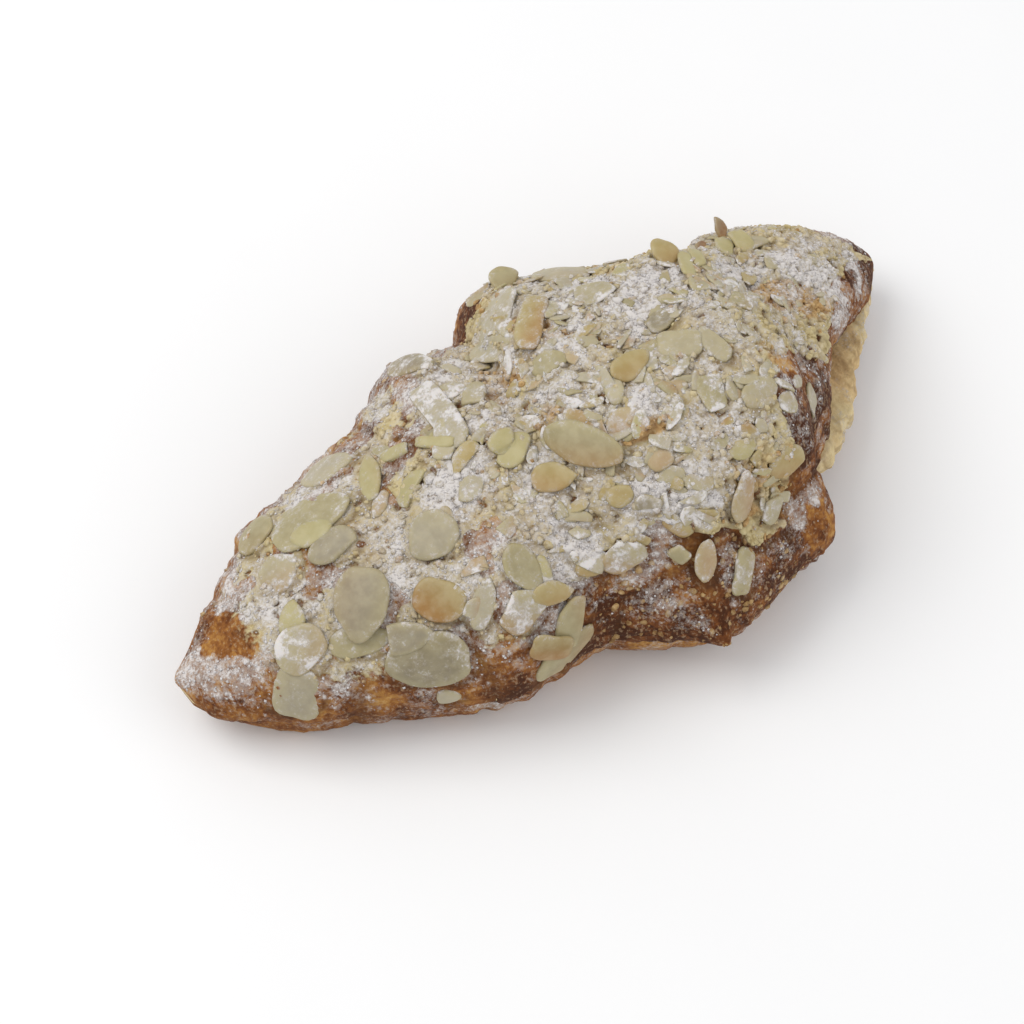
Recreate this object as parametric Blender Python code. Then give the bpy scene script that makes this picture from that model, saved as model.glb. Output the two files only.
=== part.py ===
"""Almond croissant: two crust halves, the almond cream between them, and almond flakes baked on top.

Named lengths are in millimetres and become metres when a mesh is made. X runs along the roll, its
front is at -Y, Z is up, and the base lies flat at Z 0 with the origin in its middle.
"""

import math
import random
from collections import namedtuple

import bmesh
import bpy
from mathutils import Vector

MM = 0.001
GAP = 0.3  # clear space between two pieces that touch
SMOOTH_ANGLE = math.radians(35)  # edges that turn less than this are shaded smooth

# The roll as a whole.
LEFT_TIP = -77.5
RIGHT_TIP = 85.0
SPINE_BOW = 8.0  # how far the middle of the roll bows to the front
MIDDLE_SEAM_HEIGHT = 13.0
TIP_SEAM_HEIGHT = 9.5
LEAST_HALF_WIDTH = 0.6  # of any piece, at its tips
ROLL_CENTRE = (3.75, -8.73)  # the middle of the roll's box, which becomes the origin

# A fold is one wrap of dough over the roll. Its start, crest and end along X, and how square its
# two ends are, are given at the back and at the front, because the wraps run slantwise over the
# roll. Front, back and top are how far it reaches from the middle of the section, and squareness
# is how square its section is.
Fold = namedtuple("Fold", "start crest end start_rounding end_rounding front back top squareness")
FOLDS = (
    # the left tip
    Fold((-77.5, -78), (-44, -44), (0, 0), (1.45, 1.8), (2.0, 2.0), 21.0, 20.0, 16.0, 2.3),
    # the wrap over the left limb
    Fold((-61, -67), (-34, -20), (66, 60), (2.0, 2.0), (2.0, 2.0), 28.5, 29.0, 20.5, 2.3),
    # the wrap over the left shoulder
    Fold((-31, -42), (-9, -20), (18, 6), (2.0, 2.6), (3.0, 3.0), 30.5, 39.0, 26.5, 2.3),
    # the middle wrap, highest of all
    Fold((1, -12), (10, 12), (68, 44), (4.0, 3.0), (1.4, 1.5), 33.0, 42.0, 32.5, 2.3),
    # the front of the belly, low and wide
    Fold((0, -17), (16, 16), (40, 42.5), (2.0, 2.0), (6.0, 6.0), 42.5, 18.0, 19.5, 2.3),
    # the mound of baked almond cream on the belly
    Fold((10, -10), (28, 27), (62, 47), (2.6, 2.6), (1.9, 3.0), 33.5, 24.0, 33.5, 3.4),
    # the limb that runs to the right tip
    Fold((46, 36), (56, 44), (86, 85), (3.0, 3.0), (1.5, 1.1), 28.5, 22.5, 21.5, 2.3),
)
FOLD_SHARPNESS = 16.0  # power of the mean that joins the folds; higher leaves a sharper valley

# Low swells of the baked crust. Each is one wave across another: its height, then for either wave
# how fast it turns with each millimetre along the roll and each radian round it, and its phase.
Swell = namedtuple("Swell", "height first second")
SWELLS = (
    Swell(0.45, (0.23, 2.1, 0.0), (0.11, -3.3, 1.0)),
    Swell(0.3, (0.61, 4.7, 0.6), (0.37, -6.1, 0.0)),
)
SWELL_FROM, SWELL_FULL = 3.0, 14.0  # the roll's half width where swells begin and are full

# How much further out the roll's front and back edges lie than its folds, as pairs of x and distance.
FRONT_TRIM = (
    (-77, 0), (-68, -1.5), (-60, -0.5), (-44, -0.2), (-38, 0.3), (-32, 1.5), (-27, 1.0), (-22, -0.4),
    (-12, -0.4), (-8, 0.4), (-3, -0.4), (2, -0.9), (6, 0), (14, 0), (20, -0.9), (26, -2.0), (31, -2.8),
    (36, -1.8), (40, -0.3), (44, -1.8), (49, -1.5), (54, 0), (62, -0.7), (67, -1.3), (71, -2.4), (78, -2.8),
    (83, -0.6), (85, 0),
)
BACK_TRIM = (
    (-77, 1.0), (-70, 0.2), (-64, 0.4), (-57, 3.0), (-53, 2.4), (-49, -0.4), (-44, -1.8), (-39, -1.6),
    (-34, 0), (-28, 1.4), (-24, 1.8), (-18, -1.4), (-11, -0.6), (-6, -2.6), (3, -3.2), (8, -1.6),
    (12, -0.4), (16, -0.9), (20, -1.2), (27, -2.2), (31, -2.9), (35, -1.6), (39, -0.6), (43, -1.5), (46.5, -7.0),
    (50, 2.6), (54, 3.2), (57, 2.0), (61, 1.2), (66, 1.2), (85, 0),
)
TRIM_ROUND = math.radians(75)  # how far round the crown a trim fades away

# The cream layer and its open flank, at the front of the right limb.
CREAM_THICKNESS = 5.0
CREAM_RIM_THICKNESS = 1.0
CREAM_THINNING = 4  # power with which the layer thins from its middle to a closed rim
CREAM_TAPER = 0.35  # share of the half length over which it thins towards a tip
CREAM_INSET = 1.6  # how far the cream stays behind the crust where the roll is closed
CREAM_OVERHANG = 0.4  # how far it stands out past the lower half's line along the flank
CREAM_LUMPS = ((0.5, 0.55, 0.0), (0.35, 1.3, 1.0))  # height, quickness and phase of the lumps there
CREAM_NOSE = 0.35  # how far its rim bulges, as a share of half its thickness
CREAM_TAIL = 0.2  # how far its back rim is pointed
FLANK_START, FLANK_END = 41.0, 86.0
FLANK_FADE = 8.0  # length over which the flank opens and closes
# How far the upper crust stays behind the cream there, as pairs of x and distance.
FLANK_SETBACK = (
    (50, 0.3), (54, 3.9), (58, 6.6), (62, 8.2), (64, 7.0), (66, 5.4), (70, 3.2), (75, 1.0), (78, 0),
)
SETBACK_ANGLE = math.radians(117)  # how far up the front that setback reaches

# The lower half.
LOWER_INSET = 1.0
TIP_LIFT = 0.16  # share of the half length over which the underside rises to a tip
BASE_CUT = 0.4  # how far the sides run on below the base, where they are cut flat
SIDE_TUCK = 0.78  # how far down its rounding a side goes before it meets the base
SIDE_SQUARENESS = 2.6

# Almond flakes. Each lies at x along the roll and at an angle round it in degrees: 0 is the back
# edge of the seam, 90 the top, 180 the front edge. Turn is the way its long side points, from
# along the roll (0) towards the back (90); lean lifts one long edge of a flake that stands.
FLAKE_THICKNESS = 1.1
FLAKE_SUNK = 0.4
FLAKE_DROOP = 0.07  # how far a flake's rim hangs, as a share of its width
FLAKE_POINT = 0.2  # how much one end is narrower than the middle, as a share
FLAKE_FOOTPRINT = 0.4  # share of length plus width over which the crust under a flake is averaged
SEAT_ON_BUMPS = 0.75  # 0 seats a flake at the mean height of the crust under it, 1 at its highest
LEAN_LIFT = 0.35  # how far a leaning flake's middle rises, as a share of its leaning width
Flake = namedtuple("Flake", "x angle turn length width lean")
FLAKES = (
    # on the left limb, from its tip
    Flake(-63, 153, 68, 11.5, 8.3, 0),
    Flake(-58.5, 125, 10, 10.0, 8.5, 4),
    Flake(-57, 104, 62, 7.0, 5.0, -5),
    Flake(-54, 67, -10, 9.0, 8.0, 0),
    Flake(-52, 33, -50, 9.5, 8.5, 0),
    Flake(-49.5, 134, -12, 12.0, 6.2, 0),
    Flake(-46, 117, -125, 13.8, 10.6, 3),
    Flake(-44, 56, -20, 17.0, 11.0, -4),
    Flake(-44, 79, -24, 9.5, 7.0, 0),
    Flake(-43, 139, -12, 10.5, 6.0, -6),
    Flake(-41, 152, -22, 15.5, 12.0, 5),
    Flake(-40, 174, 5, 4.5, 4.0, 0),
    Flake(-35, 36, -40, 12.0, 8.0, 0),
    Flake(-34.5, 131, -35, 10.2, 7.6, -5),
    Flake(-31, 58, 60, 10.5, 4.6, -10),
    Flake(-29.4, 105, -24, 10.2, 8.8, 4),
    Flake(-29, 137, 56, 10.5, 4.2, -6),
    Flake(-45.3, 66, -15, 8.5, 5.2, 0),
    # where the left limb meets the belly
    Flake(-23.5, 145, -4, 9.0, 8.5, 5),
    Flake(-20, 132, -84, 10.0, 6.5, -6),
    Flake(-18.5, 171, 24, 15.0, 8.0, 4),
    Flake(-21.5, 161, -36, 9.0, 5.6, 8),
    Flake(-15.5, 158, 66, 11.5, 8.0, -4),
    Flake(-17.5, 144, -20, 8.5, 4.6, 6),
    Flake(-16, 66, -70, 4.2, 2.4, 10),
    Flake(-19, 71, -46, 8.0, 2.4, 8),
    Flake(-25, 58, -40, 6.5, 2.6, 6),
    Flake(-14.8, 62, -94, 17.5, 5.5, 5),
    Flake(-11, 33, -76, 12.5, 6.0, 12),
    Flake(-10, 87, 23, 5.8, 4.4, 8),
    Flake(-9, 92, 6, 8.0, 6.0, -6),
    Flake(-9, 143, -29, 5.0, 4.0, 5),
    Flake(-8, 63, 50, 8.5, 4.5, -8),
    Flake(-7, 126, -34, 7.0, 3.5, 6),
    Flake(-6, 110, -28, 8.2, 5.8, -4),
    Flake(-2.6, 145, -16, 8.4, 7.3, 5),
    # on the belly
    Flake(1, 107, -52, 15.4, 7.8, 5),
    Flake(1, 126, -13, 5.0, 4.2, -8),
    Flake(4.5, 132, -17, 5.0, 4.0, 6),
    Flake(4, 47, 20, 15.5, 10.0, -4),
    Flake(5, 76, -44, 6.8, 5.6, 3),
    Flake(6, 151, -64, 4.0, 3.3, 8),
    Flake(8, 61, 42, 13.0, 5.0, 8),
    Flake(9, 109, -20, 8.0, 6.5, 4),
    Flake(10, 122, -10, 5.0, 4.6, -6),
    Flake(10, 156, 74, 8.8, 4.5, 6),
    Flake(7.5, 142.5, -62, 6.0, 3.4, 8),
    Flake(11, 97, 44, 6.5, 4.0, -10),
    Flake(16, 165, 52, 8.8, 4.6, 8),
    Flake(16, 94, 6, 9.0, 5.0, 8),
    Flake(20, 63, -35, 10.0, 6.0, 8),
    Flake(20.5, 144, 67, 10.0, 6.2, 6),
    Flake(26, 156, 8, 6.0, 5.0, 8),
    Flake(26, 97, -34, 8.5, 5.5, 4),
    Flake(27, 86, -18, 6.4, 5.6, -6),
    Flake(22, 40, -30, 11.0, 6.5, 8),
    Flake(31, 103, -80, 8.0, 4.0, 12),
    Flake(32, 144, -26, 8.0, 7.0, 0),
    Flake(33, 122, -6, 8.0, 5.5, 5),
    # on the right limb
    Flake(39.5, 71, 57, 8.5, 3.0, 12),
    Flake(42.8, 69, 62, 7.0, 2.6, -8),
    Flake(52.5, 56, 6, 4.0, 5.5, 24),
    Flake(56, 58, 0, 4.2, 5.5, 28),
    Flake(59, 58, -30, 5.5, 5.0, -6),
    # standing on edge along the back
    Flake(12.5, 35, -4, 6.0, 4.8, 55),
    Flake(38, 63, -4, 5.6, 6.2, 42),
    Flake(56, 40, 10, 2.6, 5.2, 58),
    Flake(50.8, 43, 30, 3.0, 2.8, 30),
)

# Broken pieces of flake, scattered over part of the crown.
BROKEN_FLAKES = 30
BROKEN_ALONG = (-34, 46)
BROKEN_ROUND = (48, 142)  # degrees, as a flake's angle
BROKEN_LENGTH = (5.0, 8.5)
BROKEN_NARROWNESS = (0.45, 0.75)  # width as a share of length
BROKEN_LEAN = 14
SEED = 11

# Resolution.
STATIONS = 52
STATION_CROWDING = 0.55  # 0 spaces the sections evenly, 1 crowds them most towards the tips
STATION_INSET = 0.4  # the outer sections stay this far inside the tips
CROWN_POINTS = 28  # around the upper half's outside
SEAM_POINTS = 7  # across the seam
SIDE_POINTS = 5  # down each side of the lower half
FLAKE_POINTS, FLAKE_RAGGEDNESS = 9, 0.06  # points round a whole flake, and how uneven they are
BROKEN_POINTS, BROKEN_RAGGEDNESS = 7, 0.2


def blend(first, second, share):
    """The value that lies this share of the way from first to second."""
    return first + (second - first) * share


def smooth_step(low, high, value):
    """0 below low, 1 above high, and an S-shaped rise between."""
    share = min(1.0, max(0.0, (value - low) / (high - low)))
    return share * share * (3 - 2 * share)


def along(x):
    """-1 at the left tip, 1 at the right tip."""
    return (2 * x - LEFT_TIP - RIGHT_TIP) / (RIGHT_TIP - LEFT_TIP)


def spine_y(x):
    """Y of the section's middle: the roll is a shallow crescent."""
    return -SPINE_BOW * (1 - along(x) ** 2)


def seam_z(x):
    """Height of the middle of the cream layer."""
    return blend(TIP_SEAM_HEIGHT, MIDDLE_SEAM_HEIGHT, 1 - along(x) ** 2)


def end_shape(fold, x, lean):
    """How full a fold is at x, from 0 at its ends to 1 at its crest; lean is 0 at the back, 1 in front."""
    start, crest, end = (blend(place[0], place[1], lean) for place in (fold.start, fold.crest, fold.end))
    if x <= start or x >= end:
        return 0.0
    away = (crest - x) / (crest - start) if x < crest else (x - crest) / (end - crest)
    rounding = fold.start_rounding if x < crest else fold.end_rounding
    power = blend(rounding[0], rounding[1], lean)
    return (1 - away**power) ** (1 / power)


def fold_reach(fold, x, angle):
    """Distance from the section's middle to the fold's surface; angle 0 points back, 90 degrees up."""
    across, up = math.cos(angle), math.sin(angle)
    side = fold.back if across > 0 else fold.front
    power = fold.squareness
    round_section = (abs(across) / side) ** power + (abs(up) / fold.top) ** power
    return end_shape(fold, x, (1 - across) / 2) * round_section ** (-1 / power)


def flank(x):
    """1 along the flank where the cream shows, 0 elsewhere."""
    opening = smooth_step(FLANK_START, FLANK_START + FLANK_FADE, x)
    return opening * (1 - smooth_step(FLANK_END - FLANK_FADE, FLANK_END, x))


def wave(x, angle, numbers):
    """A wave over the crust, from its turns along and round the roll and its phase."""
    turns_along, turns_round, phase = numbers
    return math.sin(turns_along * x + turns_round * angle + phase)


def crust_relief(x, angle):
    """How far the swells lift the crust."""
    return sum(swell.height * wave(x, angle, swell.first) * wave(x, angle, swell.second) for swell in SWELLS)


def trim_at(pairs, x):
    """The distance at x, read between the pairs of x and distance on either side of it."""
    if x <= pairs[0][0]:
        return pairs[0][1]
    for (first_x, first), (second_x, second) in zip(pairs, pairs[1:]):
        if x <= second_x:
            return blend(first, second, (x - first_x) / (second_x - first_x))
    return pairs[-1][1]


def edge_trim(x, angle):
    """How far the trims move the crust out at this place."""
    behind = trim_at(BACK_TRIM, x) * (1 - smooth_step(0.0, TRIM_ROUND, angle))
    return behind + trim_at(FRONT_TRIM, x) * (1 - smooth_step(0.0, TRIM_ROUND, math.pi - angle))


def reach(x, angle):
    """Distance from the section's middle to the crust, over all folds."""
    total = sum(fold_reach(fold, x, angle) ** FOLD_SHARPNESS for fold in FOLDS)
    smooth = total ** (1 / FOLD_SHARPNESS)
    relief = crust_relief(x, angle) + edge_trim(x, angle)
    return smooth + relief * smooth_step(SWELL_FROM, SWELL_FULL, smooth)


def cream_half_thickness(x, y):
    """Half the cream's thickness: it thins to a line at the rim, but for the open flank."""
    aside = y - spine_y(x)
    across = min(1.0, abs(aside) / reach(x, 0.0 if aside > 0 else math.pi))
    opening = flank(x) if aside < 0 else 0.0
    rim = blend(CREAM_RIM_THICKNESS, CREAM_THICKNESS, opening)
    taper = smooth_step(0.0, CREAM_TAPER, 1 - abs(along(x)))
    middle = blend(CREAM_RIM_THICKNESS, CREAM_THICKNESS, taper)
    return 0.5 * blend(min(rim, middle), middle, 1 - across**CREAM_THINNING)


def seam_row(x, front, back, side, gap):
    """Points across one face of the cream, from back to front, or a gap off it; side is 1 above."""
    row = []
    for step in range(SEAM_POINTS):
        across = 1 - 2 * step / (SEAM_POINTS - 1)
        y = spine_y(x) + (back if across > 0 else front) * across
        row.append((x, y, seam_z(x) + side * (cream_half_thickness(x, y) + gap)))
    return row


def upper_edges(x):
    """Half widths of the upper half at the seam: front, back."""
    front = reach(x, math.pi) - trim_at(FLANK_SETBACK, x) * flank(x)
    return max(front, LEAST_HALF_WIDTH), reach(x, 0.0)


def crown_point(x, angle):
    """A point on the outside of the upper half."""
    setback = trim_at(FLANK_SETBACK, x) * flank(x) * smooth_step(SETBACK_ANGLE, math.pi, angle)
    distance = max(reach(x, angle) - setback, LEAST_HALF_WIDTH)
    edge = spine_y(x) + math.copysign(distance, math.cos(angle))
    rim = cream_half_thickness(x, edge) + GAP
    return (x, spine_y(x) + distance * math.cos(angle), seam_z(x) + rim + distance * math.sin(angle))


def upper_ring(x):
    """The upper half's section: over the crown from back to front, then back along the seam."""
    crown = [crown_point(x, math.pi * step / (CROWN_POINTS - 1)) for step in range(CROWN_POINTS)]
    front, back = upper_edges(x)
    return crown + seam_row(x, front, back, 1, GAP)[-2:0:-1]


def lower_side(x, width, side):
    """Points down one side of the lower half, from the seam to the base; side is 1 at the back."""
    top = seam_z(x) - cream_half_thickness(x, spine_y(x) + side * width) - GAP
    depth = top * smooth_step(0.0, TIP_LIFT, 1 - abs(along(x))) + BASE_CUT
    points = []
    for step in range(SIDE_POINTS):
        drop = step / (SIDE_POINTS - 1)
        inward = (1 - (SIDE_TUCK * drop) ** SIDE_SQUARENESS) ** (1 / SIDE_SQUARENESS)
        height = top - drop * depth
        points.append((x, spine_y(x) + side * width * inward, max(height, 0.0)))
    return points


def lower_ring(x):
    """The lower half's section: down the front, along the base, up the back and over the seam."""
    front = max(reach(x, math.pi) - LOWER_INSET, LEAST_HALF_WIDTH)
    back = max(reach(x, 0.0) - LOWER_INSET, LEAST_HALF_WIDTH)
    front_side = lower_side(x, front, -1)
    back_side = lower_side(x, back, 1)[::-1]
    return front_side + back_side + seam_row(x, front, back, -1, GAP)[1:-1]


def cream_overhang(x):
    """How far the cream stands out along the flank, with its lumps."""
    lumps = sum(height * math.sin(quickness * x + phase) for height, quickness, phase in CREAM_LUMPS)
    return CREAM_OVERHANG + lumps


def cream_ring(x):
    """The cream's section: its top face from front to back, its underside back again, and its nose."""
    front = reach(x, math.pi) + blend(-CREAM_INSET, cream_overhang(x), flank(x))
    front = max(front, LEAST_HALF_WIDTH)
    back = max(reach(x, 0.0) - CREAM_INSET, LEAST_HALF_WIDTH)
    top = seam_row(x, front, back, 1, 0.0)
    bottom = seam_row(x, front, back, -1, 0.0)
    bulge = CREAM_NOSE * cream_half_thickness(x, top[-1][1])
    tail = (x, top[0][1] + CREAM_TAIL, seam_z(x))
    nose = (x, top[-1][1] - bulge, seam_z(x))
    return top[::-1] + [tail] + bottom + [nose]


def crown_frame(x, angle, span):
    """A place on the crown, averaged over a span: its point and the ways along, back and out of it."""
    away = span / 2
    round_step = away / max(reach(x, angle), away)
    middle = Vector(crown_point(x, angle))
    left, right = Vector(crown_point(x - away, angle)), Vector(crown_point(x + away, angle))
    back, front = Vector(crown_point(x, angle - round_step)), Vector(crown_point(x, angle + round_step))
    forward = (right - left).normalized()
    out = forward.cross(back - front).normalized()
    heights = [(point - middle).dot(out) for point in (middle, left, right, back, front)]
    rest = blend(sum(heights) / len(heights), max(heights), SEAT_ON_BUMPS)
    return middle + out * rest, forward, out.cross(forward), out


def flake_outline(points, raggedness, chance):
    """An egg-shaped outline in half lengths and half widths, pointed towards +1."""
    outline = []
    for step in range(points):
        turn = 2 * math.pi * step / points
        size = 1 + chance.uniform(-raggedness, raggedness)
        narrowing = 1 - FLAKE_POINT * math.cos(turn)
        outline.append((size * math.cos(turn), size * narrowing * math.sin(turn)))
    return outline


def flake_mesh(flake, outline):
    """A closed slab, its middle a little higher than its rim, seated on the crown."""
    span = FLAKE_FOOTPRINT * (flake.length + flake.width)
    seat, forward, back, out = crown_frame(flake.x, math.radians(flake.angle), span)
    turn, lean = math.radians(flake.turn), math.radians(flake.lean)
    lengthways = forward * math.cos(turn) + back * math.sin(turn)
    flat_way = out.cross(lengthways)
    sideways = flat_way * math.cos(lean) + out * math.sin(lean)
    face = lengthways.cross(sideways)
    seat = seat + out * abs(math.sin(lean)) * flake.width * LEAN_LIFT
    mesh = bmesh.new()
    rings = []
    for height in (FLAKE_THICKNESS - FLAKE_SUNK, -FLAKE_SUNK):
        rim = []
        for u, v in outline:
            droop = FLAKE_DROOP * flake.width * (u * u + v * v)
            offset = lengthways * (u * flake.length / 2) + sideways * (v * flake.width / 2)
            rim.append(mesh.verts.new(to_frame(seat + offset + face * (height - droop))))
        rings.append((mesh.verts.new(to_frame(seat + face * height)), rim))
    (top_middle, top), (low_middle, low) = rings
    for index in range(len(outline)):
        following = (index + 1) % len(outline)
        mesh.faces.new((top_middle, top[index], top[following]))
        mesh.faces.new((low_middle, low[following], low[index]))
        mesh.faces.new((top[index], low[index], low[following], top[following]))
    bmesh.ops.recalc_face_normals(mesh, faces=mesh.faces)
    return mesh


def broken_flakes():
    """Small pieces of flake, scattered over the crown from a fixed seed."""
    chance = random.Random(SEED)
    pieces = []
    for _ in range(BROKEN_FLAKES):
        x = chance.uniform(*BROKEN_ALONG)
        angle = chance.uniform(*BROKEN_ROUND)
        length = chance.uniform(*BROKEN_LENGTH)
        width = length * chance.uniform(*BROKEN_NARROWNESS)
        turn = chance.uniform(0, 180)
        pieces.append(Flake(x, angle, turn, length, width, chance.uniform(-BROKEN_LEAN, BROKEN_LEAN)))
    return pieces


def stations():
    """Where the sections stand along X, closer together near the tips."""
    places = []
    for step in range(STATIONS):
        share = -1 + 2 * step / (STATIONS - 1)
        spread = blend(share, math.sin(share * math.pi / 2), STATION_CROWDING)
        places.append(blend(LEFT_TIP + STATION_INSET, RIGHT_TIP - STATION_INSET, (spread + 1) / 2))
    return places


def loft(name, ring_at, material):
    """A closed object through the rings at every station; faces that meet across a gap split alike."""
    mesh = bmesh.new()
    rings = []
    for x in stations():
        rings.append([mesh.verts.new(to_frame(point)) for point in ring_at(x)])
    for first, second in zip(rings, rings[1:]):
        for index in range(len(first)):
            following = (index + 1) % len(first)
            mesh.faces.new((first[index], first[following], second[following]))
            mesh.faces.new((first[index], second[following], second[index]))
    mesh.faces.new(rings[0][::-1])
    mesh.faces.new(rings[-1])
    bmesh.ops.recalc_face_normals(mesh, faces=mesh.faces)
    return finished(name, mesh, material)


def to_frame(point):
    """A point of the roll in metres, with the origin in the middle of the base."""
    return Vector((point[0] - ROLL_CENTRE[0], point[1] - ROLL_CENTRE[1], point[2])) * MM


def finished(name, mesh, material):
    """Makes the bmesh an object in the scene."""
    data = bpy.data.meshes.new(name)
    mesh.to_mesh(data)
    mesh.free()
    data.materials.append(material)
    obj = bpy.data.objects.new(name, data)
    bpy.context.scene.collection.objects.link(obj)
    return obj


def fuse(obj, pieces):
    """Joins the pieces to the object in one union and keeps only the outer skin of the result."""
    modifier = obj.modifiers.new("fuse", "BOOLEAN")
    modifier.operation = "UNION"
    modifier.operand_type = "COLLECTION"
    modifier.collection = pieces
    modifier.solver = "EXACT"
    graph = bpy.context.evaluated_depsgraph_get()
    fused = bpy.data.meshes.new_from_object(obj.evaluated_get(graph), depsgraph=graph)
    obj.modifiers.remove(modifier)
    obj.data = fused
    for piece in list(pieces.objects):
        bpy.data.objects.remove(piece, do_unlink=True)
    bpy.data.collections.remove(pieces)
    keep_outer_skin(fused)


def keep_outer_skin(data):
    """Drops loose scraps and fills sealed hollows: only the largest closed skin stays."""
    mesh = bmesh.new()
    mesh.from_mesh(data)
    unseen = set(mesh.faces)
    skins = []
    while unseen:
        reached = [unseen.pop()]
        skin = []
        while reached:
            face = reached.pop()
            skin.append(face)
            for edge in face.edges:
                for neighbour in edge.link_faces:
                    if neighbour in unseen:
                        unseen.remove(neighbour)
                        reached.append(neighbour)
        skins.append(skin)
    skins.sort(key=len)
    scraps = [face for skin in skins[:-1] for face in skin]
    bmesh.ops.delete(mesh, geom=scraps, context="FACES")
    mesh.to_mesh(data)
    mesh.free()


def scatter_flakes(upper, material):
    """Lays every flake on the upper half and fuses them to it."""
    pieces = bpy.data.collections.new("flakes")
    bpy.context.scene.collection.children.link(pieces)
    chance = random.Random(SEED)
    whole = [(flake, flake_outline(FLAKE_POINTS, FLAKE_RAGGEDNESS, chance)) for flake in FLAKES]
    broken = [
        (flake, flake_outline(BROKEN_POINTS, BROKEN_RAGGEDNESS, chance)) for flake in broken_flakes()
    ]
    for index, (flake, outline) in enumerate(whole + broken):
        piece = finished(f"flake_{index:02d}", flake_mesh(flake, outline), material)
        bpy.context.scene.collection.objects.unlink(piece)
        pieces.objects.link(piece)
    fuse(upper, pieces)


def shade(obj):
    """Smooth shading, with the flakes' edges and the seam's left sharp."""
    obj.data.shade_smooth()
    obj.data.set_sharp_from_angle(angle=SMOOTH_ANGLE)


def baked_material(name, colour, roughness):
    """A plain matt food surface; colour is linear."""
    material = bpy.data.materials.new(name)
    material.use_nodes = True
    shader = material.node_tree.nodes["Principled BSDF"]
    shader.inputs["Base Color"].default_value = (*colour, 1)
    shader.inputs["Roughness"].default_value = roughness
    shader.inputs["Metallic"].default_value = 0
    return material


def clear_scene():
    for obj in list(bpy.data.objects):
        bpy.data.objects.remove(obj, do_unlink=True)


def build():
    clear_scene()
    topped = baked_material("topped_crust", (0.42, 0.35, 0.24), 0.8)
    crust = baked_material("baked_crust", (0.25, 0.11, 0.035), 0.6)
    cream = baked_material("almond_cream", (0.45, 0.32, 0.15), 0.7)
    upper = loft("upper_half", upper_ring, topped)
    scatter_flakes(upper, topped)
    filling = loft("almond_cream", cream_ring, cream)
    lower = loft("lower_half", lower_ring, crust)
    for obj in (upper, filling, lower):
        shade(obj)


build()
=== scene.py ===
"""Looks of the almond croissant: crust, baked almond cream, almond flakes, crumbs and icing sugar.

Lengths are in millimetres in the roll's own coordinates, where X runs along the roll; to_frame turns
them into metres in the frame. A place on the crown is given by x and an angle round the roll: 0 is
the back edge of the seam, 90 the top and 180 the front edge. A noise's last number is its seed.
"""

import math
import random
from collections import namedtuple

import bpy
import numpy as np
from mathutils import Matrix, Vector


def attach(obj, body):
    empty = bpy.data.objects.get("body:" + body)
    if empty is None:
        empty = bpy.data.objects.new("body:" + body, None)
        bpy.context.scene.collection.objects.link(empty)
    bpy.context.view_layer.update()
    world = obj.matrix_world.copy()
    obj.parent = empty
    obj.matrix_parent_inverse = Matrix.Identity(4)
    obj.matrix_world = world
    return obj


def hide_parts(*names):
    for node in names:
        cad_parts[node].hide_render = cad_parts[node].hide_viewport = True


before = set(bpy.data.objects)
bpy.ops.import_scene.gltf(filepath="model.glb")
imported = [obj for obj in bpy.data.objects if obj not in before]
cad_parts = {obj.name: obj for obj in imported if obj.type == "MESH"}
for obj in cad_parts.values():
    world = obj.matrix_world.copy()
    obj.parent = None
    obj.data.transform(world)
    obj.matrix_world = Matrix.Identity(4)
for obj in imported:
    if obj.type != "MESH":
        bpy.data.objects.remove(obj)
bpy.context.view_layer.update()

MM = 0.001
GAP = 0.3

# The roll, as the solids have it.
LEFT_TIP = -77.5
RIGHT_TIP = 85.0
SPINE_BOW = 8.0
MIDDLE_SEAM_HEIGHT = 13.0
TIP_SEAM_HEIGHT = 9.5
LEAST_HALF_WIDTH = 0.6
ROLL_CENTRE = (3.75, -8.73)
Fold = namedtuple("Fold", "start crest end start_rounding end_rounding front back top squareness")
FOLDS = [Fold(*row) for row in (
    ((-77.5, -78), (-44, -44), (0, 0), (1.45, 1.8), (2, 2), 21, 20, 16, 2.3),
    ((-61, -67), (-34, -20), (66, 60), (2, 2), (2, 2), 28.5, 29, 20.5, 2.3),
    ((-31, -42), (-9, -20), (18, 6), (2, 2.6), (3, 3), 30.5, 39, 26.5, 2.3),
    ((1, -12), (10, 12), (68, 44), (4, 3), (1.4, 1.5), 33, 42, 32.5, 2.3),
    ((0, -17), (16, 16), (40, 42.5), (2, 2), (6, 6), 42.5, 18, 19.5, 2.3),
    ((10, -10), (28, 27), (62, 47), (2.6, 2.6), (1.9, 3), 33.5, 24, 33.5, 3.4),
    ((46, 36), (56, 44), (86, 85), (3, 3), (1.5, 1.1), 28.5, 22.5, 21.5, 2.3),
)]
FOLD_SHARPNESS = 16.0
Swell = namedtuple("Swell", "height first second")
SWELLS = [Swell(*row) for row in (
    (0.45, (0.23, 2.1, 0), (0.11, -3.3, 1)),
    (0.3, (0.61, 4.7, 0.6), (0.37, -6.1, 0)),
)]
SWELL_FROM, SWELL_FULL = 3.0, 14.0
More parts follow.
